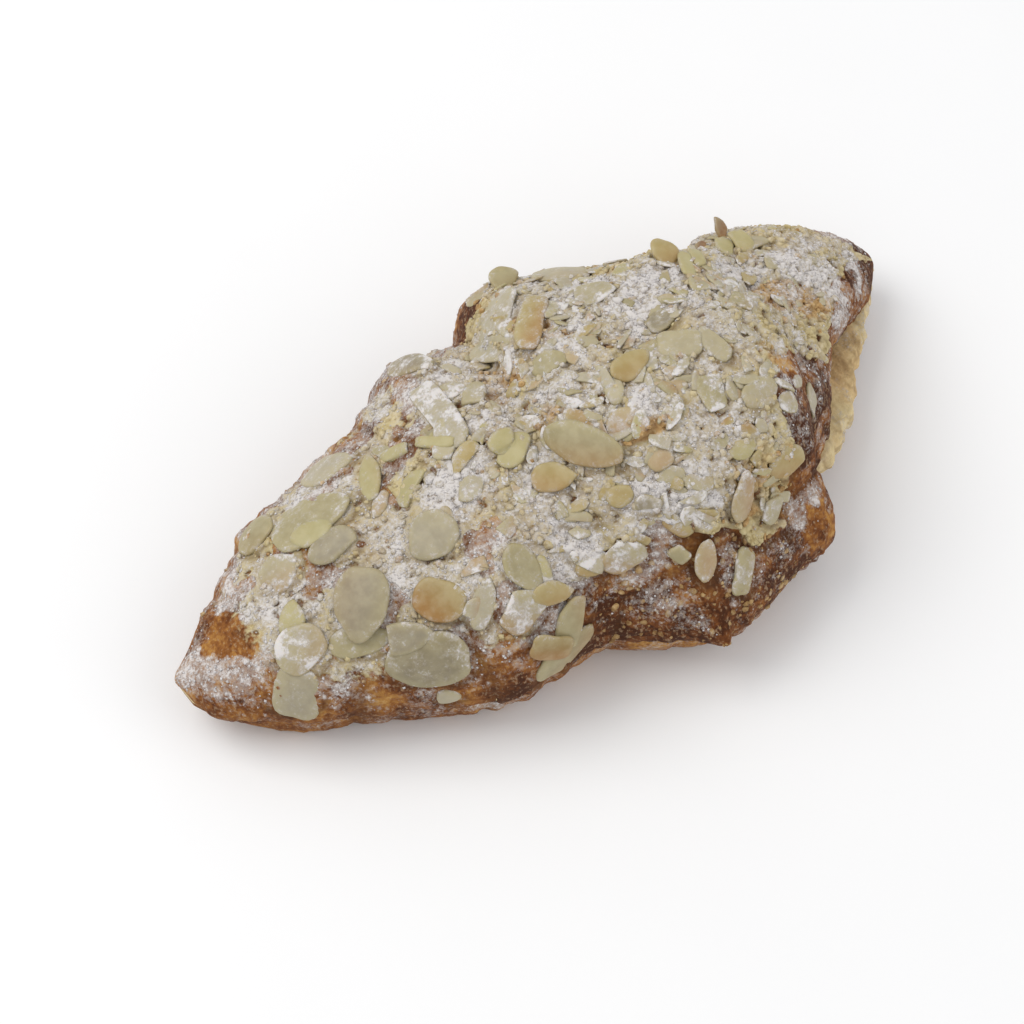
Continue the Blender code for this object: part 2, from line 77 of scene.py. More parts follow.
# How much further out the roll's edges lie than its folds, as pairs of x and distance.
FRONT_TRIM = (
    (-77, 0), (-68, -1.5), (-60, -0.5), (-44, -0.2), (-38, 0.3), (-32, 1.5), (-27, 1), (-22, -0.4),
    (-12, -0.4), (-8, 0.4), (-3, -0.4), (2, -0.9), (6, 0), (14, 0), (20, -0.9), (26, -2), (31, -2.8),
    (36, -1.8), (40, -0.3), (44, -1.8), (49, -1.5), (54, 0), (62, -0.7), (67, -1.3), (71, -2.4), (78, -2.8),
    (83, -0.6), (85, 0),
)
BACK_TRIM = (
    (-77, 1), (-70, 0.2), (-64, 0.4), (-57, 3), (-53, 2.4), (-49, -0.4), (-44, -1.8), (-39, -1.6),
    (-34, 0), (-28, 1.4), (-24, 1.8), (-18, -1.4), (-11, -0.6), (-6, -2.6), (3, -3.2), (8, -1.6),
    (12, -0.4), (16, -0.9), (20, -1.2), (27, -2.2), (31, -2.9), (35, -1.6), (39, -0.6), (43, -1.5),
    (46.5, -7), (50, 2.6), (54, 3.2), (57, 2), (61, 1.2), (66, 1.2), (85, 0),
)
TRIM_ROUND = math.radians(75)
CREAM_THICKNESS = 5.0
CREAM_RIM_THICKNESS = 1.0
CREAM_THINNING = 4
CREAM_TAPER = 0.35
CREAM_INSET = 1.6
CREAM_OVERHANG = 0.4
CREAM_LUMPS = ((0.5, 0.55, 0.0), (0.35, 1.3, 1.0))
CREAM_NOSE = 0.35
FLANK_START, FLANK_END = 41.0, 86.0
FLANK_FADE = 8.0
FLANK_SETBACK = (
    (50, 0.3), (54, 3.9), (58, 6.6), (62, 8.2), (64, 7), (66, 5.4), (70, 3.2), (75, 1), (78, 0),
)
SETBACK_ANGLE = math.radians(117)
LOWER_INSET = 1.0
TIP_LIFT = 0.16
BASE_CUT = 0.4
SIDE_TUCK = 0.78
SIDE_SQUARENESS = 2.6
STATION_CROWDING = 0.55
STATION_INSET = 0.4

# Almond flakes, as the solids have them, with their tone, how toasted one side is and how dusted
# they are.
FLAKE_THICKNESS = 0.85
BROKEN_THICKNESS = 0.7
SLIVER_THICKNESS = 0.5
FLAKE_SUNK = 0.35
FLAKE_DROOP = 0.04
SEAT_ON_BUMPS = 60
LAYER_STEP = 0.6
LYING_LEAN = 20
BEND_WITH_CROWN = 0.6
MOST_BEND = 1.6
Shape = namedtuple("Shape", "squareness narrowing point cuts")
SHAPES = {
    "egg": Shape(2.0, 0.16, 0.15, ()),
    "drop": Shape(2.0, 0.20, 0.45, ()),
    "round": Shape(2.4, 0.08, 0.0, ()),
    "slab": Shape(4.5, 0.06, 0.0, ()),
    "half": Shape(2.2, 0.12, 0.2, ((-90, 0.35),)),
    "snapped": Shape(2.3, 0.10, 0.1, ((180, 0.5),)),
    "corner": Shape(2.6, 0.10, 0.0, ((-50, 0.72), (140, 0.8))),
}
Flake = namedtuple("Flake", "x angle turn length width lean layer shape tone toast dust")
FLAKES = [Flake(*row) for row in (
    # on the left limb, from its tip
    (-63, 153, 68, 11.5, 8.3, 0, 0, "slab", "plain", 0, 0.15),
    (-58.5, 125, 10, 10, 8.5, 4, 1, "round", "pale", 0.2, 0.65),
    (-57, 104, 62, 7, 5, -5, 0, "egg", "yellow", 0, 0.3),
    (-54, 67, -10, 9, 8, 0, 0, "drop", "pale", 0.3, 0.6),
    (-52, 33, -50, 9.5, 8.5, 0, 0, "egg", "olive", 0.1, 0.1),
    (-49.5, 134, -12, 12, 6.2, 0, 0, "egg", "olive", 0, 0.25),
    (-46, 117, -125, 13.8, 10.6, 3, 2, "egg", "grey", 0.1, 0),
    (-44, 56, -20, 17, 11, -4, 0, "egg", "olive", 0, 0.25),
    (-44, 79, -24, 9.5, 7, 0, 1, "corner", "grey", 0, 0.1),
    (-43, 139, -12, 10.5, 6, -6, 2, "snapped", "grey", 0, 0.15),
    (-41, 152, -22, 15.5, 12, 5, 1, "round", "deep", 0, 0.2),
    (-40, 174, 5, 4.5, 4, 0, 0, "round", "light", 0, 0.2),
    (-35, 36, -40, 12, 8, 0, 0, "drop", "light", 0, 0.4),
    (-34.5, 131, -35, 10.2, 7.6, -5, 1, "round", "toasted", 0.5, 0),
    (-31, 58, 60, 10.5, 4.6, -10, 0, "egg", "yellow", 0.1, 0.15),
    (-29.4, 105, -24, 10.2, 8.8, 4, 1, "round", "plain", 0, 0.1),
    (-29, 137, 56, 10.5, 4.2, -6, 0, "drop", "light", 0, 0.5),
    (-45.3, 66, -15, 8.5, 5.2, 0, 1, "egg", "yellow", 0, 0.05),
    # where the left limb meets the belly
    (-23.5, 145, -4, 9, 8.5, 5, 1, "corner", "pale", 0.4, 0.6),
    (-20, 132, -84, 10, 6.5, -6, 1, "drop", "olive", 0, 0.15),
    (-18.5, 171, 24, 15, 8, 4, 0, "egg", "olive", 0.3, 0),
    (-21.5, 161, -36, 9, 5.6, 8, 2, "slab", "toasted", 0.5, 0),
    (-15.5, 158, 66, 11.5, 8, -4, 1, "half", "olive", 0.3, 0.05),
    (-17.5, 144, -20, 8.5, 4.6, 6, 2, "drop", "golden", 0.2, 0.1),
    (-16, 66, -70, 4.2, 2.4, 10, 0, "slab", "brown", 0, 0.1),
    (-19, 71, -46, 8, 2.4, 8, 1, "slab", "yellow", 0, 0.05),
    (-25, 58, -40, 6.5, 2.6, 6, 0, "slab", "yellow", 0, 0.15),
    (-14.8, 62, -94, 17.5, 5.5, 5, 1, "slab", "light", 0, 0.85),
    (-11, 33, -76, 12.5, 6, 12, 0, "corner", "grey", 0.1, 0.6),
    (-10, 87, 23, 5.8, 4.4, 8, 1, "egg", "yellow", 0, 0.1),
    (-9, 92, 6, 8, 6, -6, 0, "corner", "yellow", 0, 0.05),
    (-9, 143, -29, 5, 4, 5, 0, "round", "golden", 0.2, 0.05),
    (-8, 63, 50, 8.5, 4.5, -8, 0, "snapped", "pale", 0, 0.4),
    (-7, 126, -34, 7, 3.5, 6, 0, "half", "pale", 0.2, 0.3),
    (-6, 110, -28, 8.2, 5.8, -4, 1, "drop", "golden", 0.35, 0),
    (-2.6, 145, -16, 8.4, 7.3, 5, 1, "corner", "pale", 0.4, 0.75),
    # on the belly
    (1, 107, -52, 15.4, 7.8, 5, 2, "egg", "olive", 0.35, 0.03),
    (1, 126, -13, 5, 4.2, -8, 0, "round", "golden", 0, 0.15),
    (4.5, 132, -17, 5, 4, 6, 0, "half", "grey", 0, 0.5),
    (4, 47, 20, 15.5, 10, -4, 0, "slab", "light", 0, 0.4),
    (5, 76, -44, 6.8, 5.6, 3, 0, "corner", "olive", 0, 0.15),
    (6, 151, -64, 4, 3.3, 8, 1, "slab", "olive", 0, 0.2),
    (8, 61, 42, 13, 5, 8, 1, "slab", "golden", 0.5, 0.2),
    (9, 109, -20, 8, 6.5, 4, 0, "egg", "tan", 0.4, 0.55),
    (10, 122, -10, 5, 4.6, -6, 0, "round", "tan", 0.1, 0.1),
    (10, 156, 74, 8.8, 4.5, 6, 1, "egg", "tan", 0.2, 0.3),
    (7.5, 142.5, -62, 6, 3.4, 8, 0, "slab", "golden", 0.3, 0.35),
    (11, 97, 44, 6.5, 4, -10, 0, "corner", "pale", 0, 0.25),
    (16, 165, 52, 8.8, 4.6, 8, 0, "slab", "olive", 0.1, 0.45),
    (16, 94, 6, 9, 5, 8, 1, "egg", "golden", 0.2, 0),
    (20, 63, -35, 10, 6, 8, 0, "snapped", "pale", 0, 0.75),
    (20.5, 144, 67, 10, 6.2, 6, 1, "egg", "tan", 0.3, 0.45),
    (26, 156, 8, 6, 5, 8, 0, "corner", "pale", 0, 0.5),
    (26, 97, -34, 8.5, 5.5, 4, 0, "slab", "pale", 0, 0.15),
    (27, 86, -18, 6.4, 5.6, -6, 0, "corner", "grey", 0, 0.25),
    (22, 40, -30, 11, 6.5, 8, 0, "slab", "light", 0.1, 0.3),
    (31, 103, -80, 8, 4, 12, 0, "slab", "pale", 0, 0.15),
    (32, 144, -26, 8, 7, 0, 0, "corner", "golden", 0.3, 0.05),
    (33, 122, -6, 8, 5.5, 5, 0, "round", "pale", 0.1, 0.4),
    # on the right limb
    (39.5, 71, 57, 8.5, 3, 12, 0, "slab", "yellow", 0, 0.05),
    (42.8, 69, 62, 7, 2.6, -8, 0, "slab", "yellow", 0, 0.05),
    (52.5, 56, 6, 4, 5.5, 24, 0, "corner", "yellow", 0, 0.1),
    (56, 58, 0, 4.2, 5.5, 28, 0, "slab", "yellow", 0.1, 0.05),
    (59, 58, -30, 5.5, 5, -6, 0, "corner", "pale", 0.1, 0.3),
    # standing on edge along the back
    (12.5, 35, -4, 6, 4.8, 55, 0, "egg", "olive", 0.1, 0.1),
    (38, 63, -4, 5.6, 6.2, 42, 0, "egg", "golden", 0.3, 0),
    (56, 40, 10, 2.6, 5.2, 58, 0, "corner", "brown", 0.5, 0),
    (50.8, 43, 30, 3, 2.8, 30, 0, "corner", "brown", 0.5, 0),
)]
TONES = {
    "grey": (0.262, 0.220, 0.145),
    "deep": (0.220, 0.182, 0.108),
    "plain": (0.330, 0.285, 0.195),
    "olive": (0.325, 0.275, 0.145),
    "yellow": (0.405, 0.350, 0.160),
    "pale": (0.385, 0.330, 0.205),
    "light": (0.390, 0.340, 0.235),
    "golden": (0.372, 0.275, 0.102),
    "tan": (0.400, 0.285, 0.155),
    "toasted": (0.290, 0.190, 0.058),
    "brown": (0.190, 0.090, 0.036),
}
TOAST = (0.33, 0.145, 0.032)
# Pale tone of a flake's rim, and of its painted highlight.
RIM_AND_HIGHLIGHT_TONE = (0.42, 0.355, 0.175)
EDGE_DUST = 0.3
BROKEN_FLAKES = 30
BROKEN_ALONG = (-34, 46)
BROKEN_ROUND = (48, 142)
BROKEN_LENGTH = (5.0, 8.5)
BROKEN_NARROWNESS = (0.45, 0.75)
BROKEN_LEAN = 14
SEED = 11
# Where and how wide the painted shadow in front of each flake lies.
FLAKE_GAP_OFFSET, FLAKE_GAP_WIDTH = 0.3, 0.75
SEAT_SHARE, SEAT_SPAN, LEAN_LIFT = 0.42, 0.2, 0.35
CURLS, TWISTS, RIPPLES, PHASES = (-0.03, 0.05), (-0.05, 0.05), (0.0, 0.012), (0, 6)
OUTLINE_BULGES = ((2, 0.03), (3, 0.03), (5, 0.02), (8, 0.012))
TONE_SEED = 5
CHANCE_TONES = ("pale", "tan", "light", "yellow", "golden", "pale", "olive", "light")
CHANCE_SHAPES = ("slab", "corner", "snapped", "half")
CHANCE_TOAST = (0, 0, 0, 0.15, 0.4)
CHANCE_DUST = (0.2, 0.85)
SLIVERS, SLIVER_SEED = 330, 9
SLIVER_ALONG = (-24, 72, 12)
SLIVER_LENGTH = (2.2, 6.5)
SLIVER_NARROWNESS = (0.3, 0.75)
SLIVER_LEAN = 24
INNER_RINGS = (0.02, 0.4, 0.7, 0.86)
SMALL_INNER_RINGS = (0.05, 0.6)
Batch = namedtuple("Batch", "name points inner thickness cuts deepest seed")
WHOLE = Batch("almond_flakes", 32, INNER_RINGS, FLAKE_THICKNESS, (0, 0), 1.0, 7)
BROKEN = Batch("broken_flakes", 24, INNER_RINGS, BROKEN_THICKNESS, (1, 2), 0.6, 8)
SLIVER = Batch("almond_slivers", 12, SMALL_INNER_RINGS, SLIVER_THICKNESS, (1, 3), 0.5, 10)

# Grains: they stick to faces that look down less than steepest, and crowding makes more small ones.
Lumps = namedtuple("Lumps", "name count seed steepest sizes crowding sunk flatness")
SUGAR_GRAINS = Lumps("sugar_grains", 13000, 12, 0.15, (0.3, 0.75), 2.0, 0.3, 0.5)
CREAM_CRUMBS = Lumps("cream_crumbs", 3200, 13, 0.8, (0.5, 1.8), 2.2, 0.5, 0.7)
CRUMB_TONE_SEED = 31
OCTAHEDRON = np.array(((1, 0, 0), (0, 1, 0), (-1, 0, 0), (0, -1, 0), (0, 0, 1), (0, 0, -1)), float)
OCTAHEDRON_FACES = np.array(
    ((0, 1, 4), (1, 2, 4), (2, 3, 4), (3, 0, 4), (1, 0, 5), (2, 1, 5), (3, 2, 5), (0, 3, 5))
)

# The topping of baked almond cream: its edges on the crown, as pairs of x and angle.
TOPPING_FRONT = (
    (-30, 84), (-22, 100), (-17, 126), (-8, 148), (0, 146), (5, 138), (11, 147), (22, 159), (28, 160),
    (33, 148), (36, 126), (42, 115), (46, 117), (49, 122), (52, 134), (56, 136), (61, 122), (75, 96),
    (82, 90),
)
TOPPING_BACK = ((-30, 70), (-20, 62), (-10, 40), (0, 34), (10, 22), (30, 18), (60, 20), (75, 40), (82, 80))

# Places of the crust: x, y, z, half sizes along and across, turn about Z, and strength.
BARE = (
    (-67, 0.3, 21, 3.9, 7.6, 22, 1),
)
HEAVY_SUGAR = (
    (8.3, -32.5, 41, 9, 5, -20, 0.45), (21, 12.1, 44, 7, 7, 0, 0.42), (29.1, 1.5, 46, 9, 7, 0, 0.42),
    (-22.1, -7.3, 40, 6, 6, 0, 0.42), (-14, 15, 38, 9, 5, 0, 0.2), (60.6, -1.8, 31, 12, 6, 0, 0.42),
    (-10, -28, 35, 6, 5, 0, 0.38), (11, -18, 47, 6, 4, 0, 0.3), (55, -4, 35, 14, 8, 0, 0.32),
    (6, -3, 46, 10, 8, 0, 0.15), (-3, 3, 43, 9, 7, 0, 0.28), (66, -12, 25, 7, 4, -20, 0.4),
)
GOLDEN = (
    (-3.8, 4.5, 41, 6, 4, 0, 0.5), (-0.4, -7.9, 44, 3, 2.5, 0, 0.5), (21.5, -37.9, 36, 2.5, 6, 0, 0.7),
    (52.5, -7, 35, 7, 4, -15, 0.9), (58.5, -9.5, 31, 6, 4, -20, 0.75), (41, -22, 42, 4, 3, -30, 0.6),
    (10.9, -21.5, 46, 5, 2, -20, 0.8), (8, 8, 43, 3, 6, 20, 0.5), (27, -36, 33, 9, 5, -30, 0.45),
    (35.5, -45.5, 21, 4, 4, -30, 1),
)
DARK = (
    (-9.2, -38.4, 18, 8, 6, 0, 0.32), (21, -47.5, 20, 10, 9, 0, 0.32), (3, -45, 22, 16, 7, 0, 0.28),
    (41, -32, 35, 12, 8, -40, 0.55), (-31, -36, 15, 6, 6, 0, 0.25), (3.8, 24.2, 34, 5, 6, 0, 0.6),
    (83, -2, 13, 5, 7, 0, 0.5), (55.7, -16.7, 31, 3, 1.6, -30, 0.6), (73, -4.7, 22, 3, 2, 0, 0.7),
    (67, -12, 24, 8, 4, -20, 0.12), (49, -25, 26, 8, 6, -40, 0.4), (38, -43, 24, 9, 6, -30, 0.2),
    (-71, -7, 14, 9, 8, 0, 0.09), (-70, 9, 17, 7, 6, 30, 0.22), (-22, 13, 30, 8, 8, 0, 0.15),
    (-60, -4, 27, 9, 12, 0, 0.12),
)
# Small bumps that draw the crust out to a point: place, size, and how far each way.
NUBS = (
    ((-77, 1.5, 12.5), 3, (-1.2, 0.6, 1)),
    ((7.6, -49.3, 16), 2.3, (0, -3.2, -0.8)),
)
RIDGE_X, RIDGE_WIDTH, RIDGE_HEIGHT = 9.0, 1.9, 1.0
PITS = (
    (15.8, 15.9), (-2.4, 10.2), (-9.2, 9.4), (-11.1, 6.1), (-22.8, 8.4), (-12.6, -4.3), (8, -11.6),
    (15.7, -3.7), (17.7, -6.6), (30.7, -16.8), (73, -4.7), (55.7, -16.7),
)

# The relief of the baked cream and of the crust.
CRUMB_CELL = 1.9
CRUMB_HEIGHT, CRACK_DEPTH, LUMP_HEIGHT, GRAIN_HEIGHT, RIM_HEIGHT = 0.32, 0.25, 0.5, 0.25, 0.9
TOPPING_RISE = 0.25
LAYER_HEIGHT, CRUST_HEIGHT, CREASE_DEPTH, CREASE_WIDTH = 0.17, 0.3, 0.5, 0.9
LOWER_LAYER_HEIGHT, LOWER_CRUST_HEIGHT, LOWER_SUNK = 0.30, 0.25, 0.15
FOLD_SHIFT = 37.0
PIT_DEPTH = 0.9
GOLDEN_STRIP_X = 65
NOSE_FULLNESS = 1.6
# How far baked and how sugared the crust is, from 0 to 1, and what adds to it or takes from it.
BAKE_LEVEL, BROAD_BAKE, FINE_BAKE, STEEP_BAKE, GOLDEN_BAKE = 0.47, 0.2, 0.24, 0.1, 0.38
SUGAR_LEVEL, LYING_SUGAR = 0.07, 0.52
LOWER_BAKE, LOWER_SUGAR, LAYER_SUGAR, PATCHY_SUGAR = 0.56, 0.16, 0.06, 0.3
# The crust's rim over the closed seam: how far in and how far down each row lies.
LIP_ROWS = ((0.05, 0.9), (0.25, 1.6), (0.75, 1.45), (1.2, 0.4))

# Resolution.
CROWN_STATIONS, CROWN_POINTS = 430, 212
LOWER_STATIONS, LOWER_SIDE_POINTS = 330, 26
CREAM_STATIONS, CREAM_POINTS = 330, 10
SEAM_POINTS = 9

# Colours. A ramp's stops are its two ends and then the ones between.
SUGAR_COLOUR = (0.7, 0.665, 0.645)
SUGAR_FILM = (0.5, 0.455, 0.415)
GRAIN_COLOUR, GRAIN_SHADE = (0.7, 0.67, 0.665), (0.52, 0.49, 0.48)
CRUST_STOPS = (
    (0.0, (0.56, 0.34, 0.12)),
    (1.0, (0.06, 0.018, 0.006)),
    (0.25, (0.42, 0.205, 0.052)),
    (0.5, (0.26, 0.1, 0.024)),
    (0.75, (0.148, 0.048, 0.013)),
)
CREAM_STOPS = (
    (0.38, (0.27, 0.17, 0.075)),
    (0.7, (0.7, 0.6, 0.41)),
    (0.46, (0.45, 0.345, 0.19)),
    (0.56, (0.58, 0.475, 0.285)),
)
TOASTED_STOPS = ((0.38, (0.26, 0.135, 0.05)), (0.7, (0.64, 0.46, 0.24)), (0.55, (0.49, 0.31, 0.13)))
FLECK_COLOUR = (0.4, 0.27, 0.16)
# Dark brown for painted shade in hollows, and for browning the crumbs that lie on the bare crust.
SHADE_AND_BROWNING_COLOUR = (0.085, 0.036, 0.014)
CREAM_YELLOW = (0.56, 0.47, 0.22)
# The cream layer: a lighter, yellower cream mixed in as painted light against the shade it lies in, and the
# dark of the painted shade in its cracks.
PAINTED_LIGHT_CREAM, CREAM_CRACK_SHADE = (0.84, 0.66, 0.36), (0.2, 0.1, 0.035)
FLAKE_MOTTLE = (0.6, 0.53, 0.34)

# The camera, which fits the photo, and the studio.
CAMERA_AZIMUTH, CAMERA_ELEVATION, CAMERA_DISTANCE = -35.7, 60, 0.6
SENSOR_WIDTH = 36.0
PIXELS_PER_MM = 5.16
PHOTO_WIDTH = 1024
AIM_PIXEL = (526, 506)  # where the roll's own origin appears in the photo
SKY_COLOUR, SKY_STRENGTH = (0.97, 0.98, 1.0), 0.68
# Name, the way to it, distance, size, power and colour.
LIGHTS = (
    ("key", (-0.55, 0.55, 1.25), 0.9, 0.6, 3.8, (1.0, 0.99, 0.97)),
    ("fill", (0.7, -0.9, 0.9), 1.0, 0.8, 1.8, (1.0, 0.98, 0.96)),
)
FLOOR_SIZE = 3.0


def blend(first, second, share):
    return first + (second - first) * share


def ease(low, high, value):
    """0 before low, 1 past high and smooth between; low may be the higher of the two."""
    share = np.clip((value - low) / (high - low), 0.0, 1.0)
    return share * share * (3 - 2 * share)


def hump(distance, width):
    """1 where distance is 0, with a smooth fall on both sides."""
    return np.exp(-((distance / width) ** 2))


def turned(dx, dy, degrees):
    """A step, or many, as steps lengthways and sideways of a thing that is turned this much."""
    turn = math.radians(degrees)
    return dx * math.cos(turn) + dy * math.sin(turn), dy * math.cos(turn) - dx * math.sin(turn)


def stacked(*values):
    """Points from their x, y and z, each of them one number or many."""
    return np.stack(np.broadcast_arrays(*values), axis=-1)


def unit(vectors):
    return vectors / np.linalg.norm(vectors, axis=-1, keepdims=True)


def to_frame(points):
    """Roll coordinates in millimetres to the frame's metres."""
    return (points - np.array((*ROLL_CENTRE, 0.0))) * MM


# Noise


def hashed(ix, iy, iz, seed):
    """A repeatable random number from -1 to 1 for each whole-numbered place."""
    mixed = (ix * 73856093) ^ (iy * 19349663) ^ (iz * 83492791) ^ (seed * 265443576)
    mixed = mixed & 0xFFFFFFFF
    mixed = ((mixed ^ (mixed >> 15)) * 0x2C1B3C6D) & 0xFFFFFFFF
    mixed = ((mixed ^ (mixed >> 12)) * 0x297A2D39) & 0xFFFFFFFF
    return (mixed ^ (mixed >> 15)) / 2**31 - 1.0


def noise(points, size, seed):
    """Smooth noise from -1 to 1 whose bumps are about this size."""
    scaled = points / size
    low = np.floor(scaled).astype(np.int64)
    share = scaled - low
    share = share * share * share * (share * (share * 6 - 15) + 10)
    total = 0.0
    for corner in range(8):
        steps = (corner & 1, corner >> 1 & 1, corner >> 2 & 1)
        weight = 1.0
        for axis, step in enumerate(steps):
            weight = weight * (share[..., axis] if step else 1 - share[..., axis])
        total = total + weight * hashed(*(low[..., axis] + steps[axis] for axis in range(3)), seed)
    return total


def rough(points, size, seed, octaves=3):
    """Noise with finer noise on it."""
    return sum(noise(points, size / 2**step, seed + step) / 2**step for step in range(octaves))


def cells(points, size, seed):
    """Distances to the nearest and the second nearest of scattered centres, as shares of size."""
    scaled = points / size
    low = np.floor(scaled).astype(np.int64)
    nearest = np.full(points.shape[:-1], 9.0)
    second = nearest
    for corner in range(27):
        steps = (corner % 3 - 1, corner // 3 % 3 - 1, corner // 9 - 1)
        cell = [low[..., axis] + steps[axis] for axis in range(3)]
        distance = 0.0
        for axis in range(3):
            centre = cell[axis] + 0.5 + 0.42 * hashed(*cell, seed + axis)
            distance = distance + (centre - scaled[..., axis]) ** 2
        distance = np.sqrt(distance)
        second = np.minimum(second, np.maximum(nearest, distance))
        nearest = np.minimum(nearest, distance)
    return nearest, second


# The roll's form


def along(x):
    return (2 * x - LEFT_TIP - RIGHT_TIP) / (RIGHT_TIP - LEFT_TIP)


def spine_y(x):
    return -SPINE_BOW * (1 - along(x) ** 2)


def seam_z(x):
    return blend(TIP_SEAM_HEIGHT, MIDDLE_SEAM_HEIGHT, 1 - along(x) ** 2)


def fold_reach(fold, x, angle):
    across, up = np.cos(angle), np.sin(angle)
    lean = (1 - across) / 2
    start, crest, end = (blend(*place, lean) for place in (fold.start, fold.crest, fold.end))
    before = x < crest
    away = np.where(before, (crest - x) / (crest - start), (x - crest) / (end - crest))
    away = np.clip(away, 0.0, 1.0)
    power = np.where(before, blend(*fold.start_rounding, lean), blend(*fold.end_rounding, lean))
    fullness = (1 - away**power) ** (1 / power)
    side = np.where(across > 0, fold.back, fold.front)
    section = (np.abs(across) / side) ** fold.squareness + (np.abs(up) / fold.top) ** fold.squareness
    return fullness * section ** (-1 / fold.squareness)


def flank(x):
    """1 along the right limb's front, where the cream shows."""
    opening = ease(FLANK_START, FLANK_START + FLANK_FADE, x)
    return opening * (1 - ease(FLANK_END - FLANK_FADE, FLANK_END, x))


def wave(x, angle, numbers):
    turns_along, turns_round, phase = numbers
    return np.sin(turns_along * x + turns_round * angle + phase)


def reach(x, angle):
    """Distance from the section's middle to the crust, over all folds."""
    total = sum(fold_reach(fold, x, angle) ** FOLD_SHARPNESS for fold in FOLDS)
    smooth = total ** (1 / FOLD_SHARPNESS)
    swell = sum(s.height * wave(x, angle, s.first) * wave(x, angle, s.second) for s in SWELLS)
    behind = np.interp(x, *zip(*BACK_TRIM)) * (1 - ease(0.0, TRIM_ROUND, angle))
    before = np.interp(x, *zip(*FRONT_TRIM)) * (1 - ease(0.0, TRIM_ROUND, math.pi - angle))
    return smooth + (swell + behind + before) * ease(SWELL_FROM, SWELL_FULL, smooth)


def cream_half_thickness(x, y):
    aside = y - spine_y(x)
    edge = np.where(aside > 0, reach(x, 0.0), reach(x, math.pi))
    across = np.minimum(1.0, np.abs(aside) / edge)
    rim = blend(CREAM_RIM_THICKNESS, CREAM_THICKNESS, np.where(aside < 0, flank(x), 0.0))
    taper = ease(0.0, CREAM_TAPER, 1 - np.abs(along(x)))
    middle = blend(CREAM_RIM_THICKNESS, CREAM_THICKNESS, taper)
    return 0.5 * blend(np.minimum(rim, middle), middle, 1 - across**CREAM_THINNING)


def crown_point(x, angle):
    """Points of the plain crown, in an array that ends in x, y, z."""
    x, angle = np.broadcast_arrays(np.asarray(x, float), np.asarray(angle, float))
    setback = np.interp(x, *zip(*FLANK_SETBACK)) * flank(x) * ease(SETBACK_ANGLE, math.pi, angle)
    distance = np.maximum(reach(x, angle) - setback, LEAST_HALF_WIDTH)
    edge = spine_y(x) + np.copysign(distance, np.cos(angle))
    rim = cream_half_thickness(x, edge) + GAP
    return stacked(x, spine_y(x) + distance * np.cos(angle), seam_z(x) + rim + distance * np.sin(angle))


def stations(count):
    share = np.linspace(-1, 1, count)
    spread = blend(share, np.sin(share * math.pi / 2), STATION_CROWDING)
    return blend(LEFT_TIP + STATION_INSET, RIGHT_TIP - STATION_INSET, (spread + 1) / 2)


def grid_normals(points):
    """Outward normals of a grid of points whose first axis runs along the roll."""
    normals = np.cross(np.gradient(points, axis=1), np.gradient(points, axis=0))
    return normals / np.maximum(np.linalg.norm(normals, axis=-1, keepdims=True), 1e-9)


# What lies where on the crown


def spot_mask(points, spots):
    """How much each point lies in a group of spots, with ragged edges."""
    ragged = 0.35 * noise(points, 3.0, 91) + 0.2 * noise(points, 1.2, 92)
    total = np.zeros(points.shape[:-1])
    for x, y, z, half_length, half_width, turn, strength in spots:
        lengthways, sideways = turned(points[..., 0] - x, points[..., 1] - y, turn)
        height = (points[..., 2] - z) / (half_length + half_width)
        distance = np.sqrt((lengthways / half_length) ** 2 + (sideways / half_width) ** 2 + height**2)
        total = np.maximum(total, strength * (1 - ease(0.75, 1.2, distance + ragged)))
    return total


def topping_edge(x, angle, points):
    """Degrees inside the topping's edge on the crown: above 0 within it."""
    degrees_round = np.degrees(angle)
    front = np.interp(x, *zip(*TOPPING_FRONT))
    back = np.interp(x, *zip(*TOPPING_BACK))
    ragged = 7 * noise(points, 7.0, 21) + 4 * noise(points, 2.5, 22)
    inside = np.minimum(front - degrees_round, degrees_round - back) + ragged
    return np.where(x < TOPPING_FRONT[0][0], -20.0, inside)


def drawn_out(points):
    """Points with the crust's small nubs drawn out of them."""
    for place, size, push in NUBS:
        away = np.sum((points - np.array(place)) ** 2, axis=-1) / size**2
        points = points + np.exp(-away)[..., None] * np.array(push)
    return points


def flake_edges(x, angle):
    """1 in the narrow gap along the front edges of the flakes that lie on the crown, where shadow is
    painted.
    """
    gap = np.zeros(x.shape)
    for flake in FLAKES:
        middle = math.radians(flake.angle)
        radius = float(reach(float(flake.x), middle))
        to_back = (middle - angle) * radius
        u, v = turned(x - flake.x, to_back, flake.turn)
        size = np.hypot(u / flake.length * 2, v / flake.width * 2)
        outside = (size - 1.0) * min(flake.length, flake.width) / 2 - FLAKE_GAP_OFFSET
        in_front = ease(0.3, -0.5, to_back / flake.width)
        gap = np.maximum(gap, in_front * hump(outside, FLAKE_GAP_WIDTH))
    return gap


def crumb_share(x, angle, topping):
    """How thickly crumbs lie: on the topping, and on the belly's front where they rolled down."""
    front = ease(142, 152, np.degrees(angle)) * ease(-14, -4, x) * ease(34, 24, x)
    return np.maximum(0.75 * topping, 0.5 * front) + 0.04


def fold_edges(x, angle):
    """1 in the crease where two folds meet, and each point's place along the fold it is on."""
    reaches = np.stack([fold_reach(fold, x, angle) for fold in FOLDS])
    order = np.sort(reaches, axis=0)
    top_fold = np.argmax(reaches, axis=0)
    starts = np.stack([blend(*fold.start, (1 - np.cos(angle)) / 2) for fold in FOLDS])
    start = np.take_along_axis(starts, top_fold[None], axis=0)[0]
    return hump(order[-1] - order[-2], CREASE_WIDTH), x - start + FOLD_SHIFT * top_fold


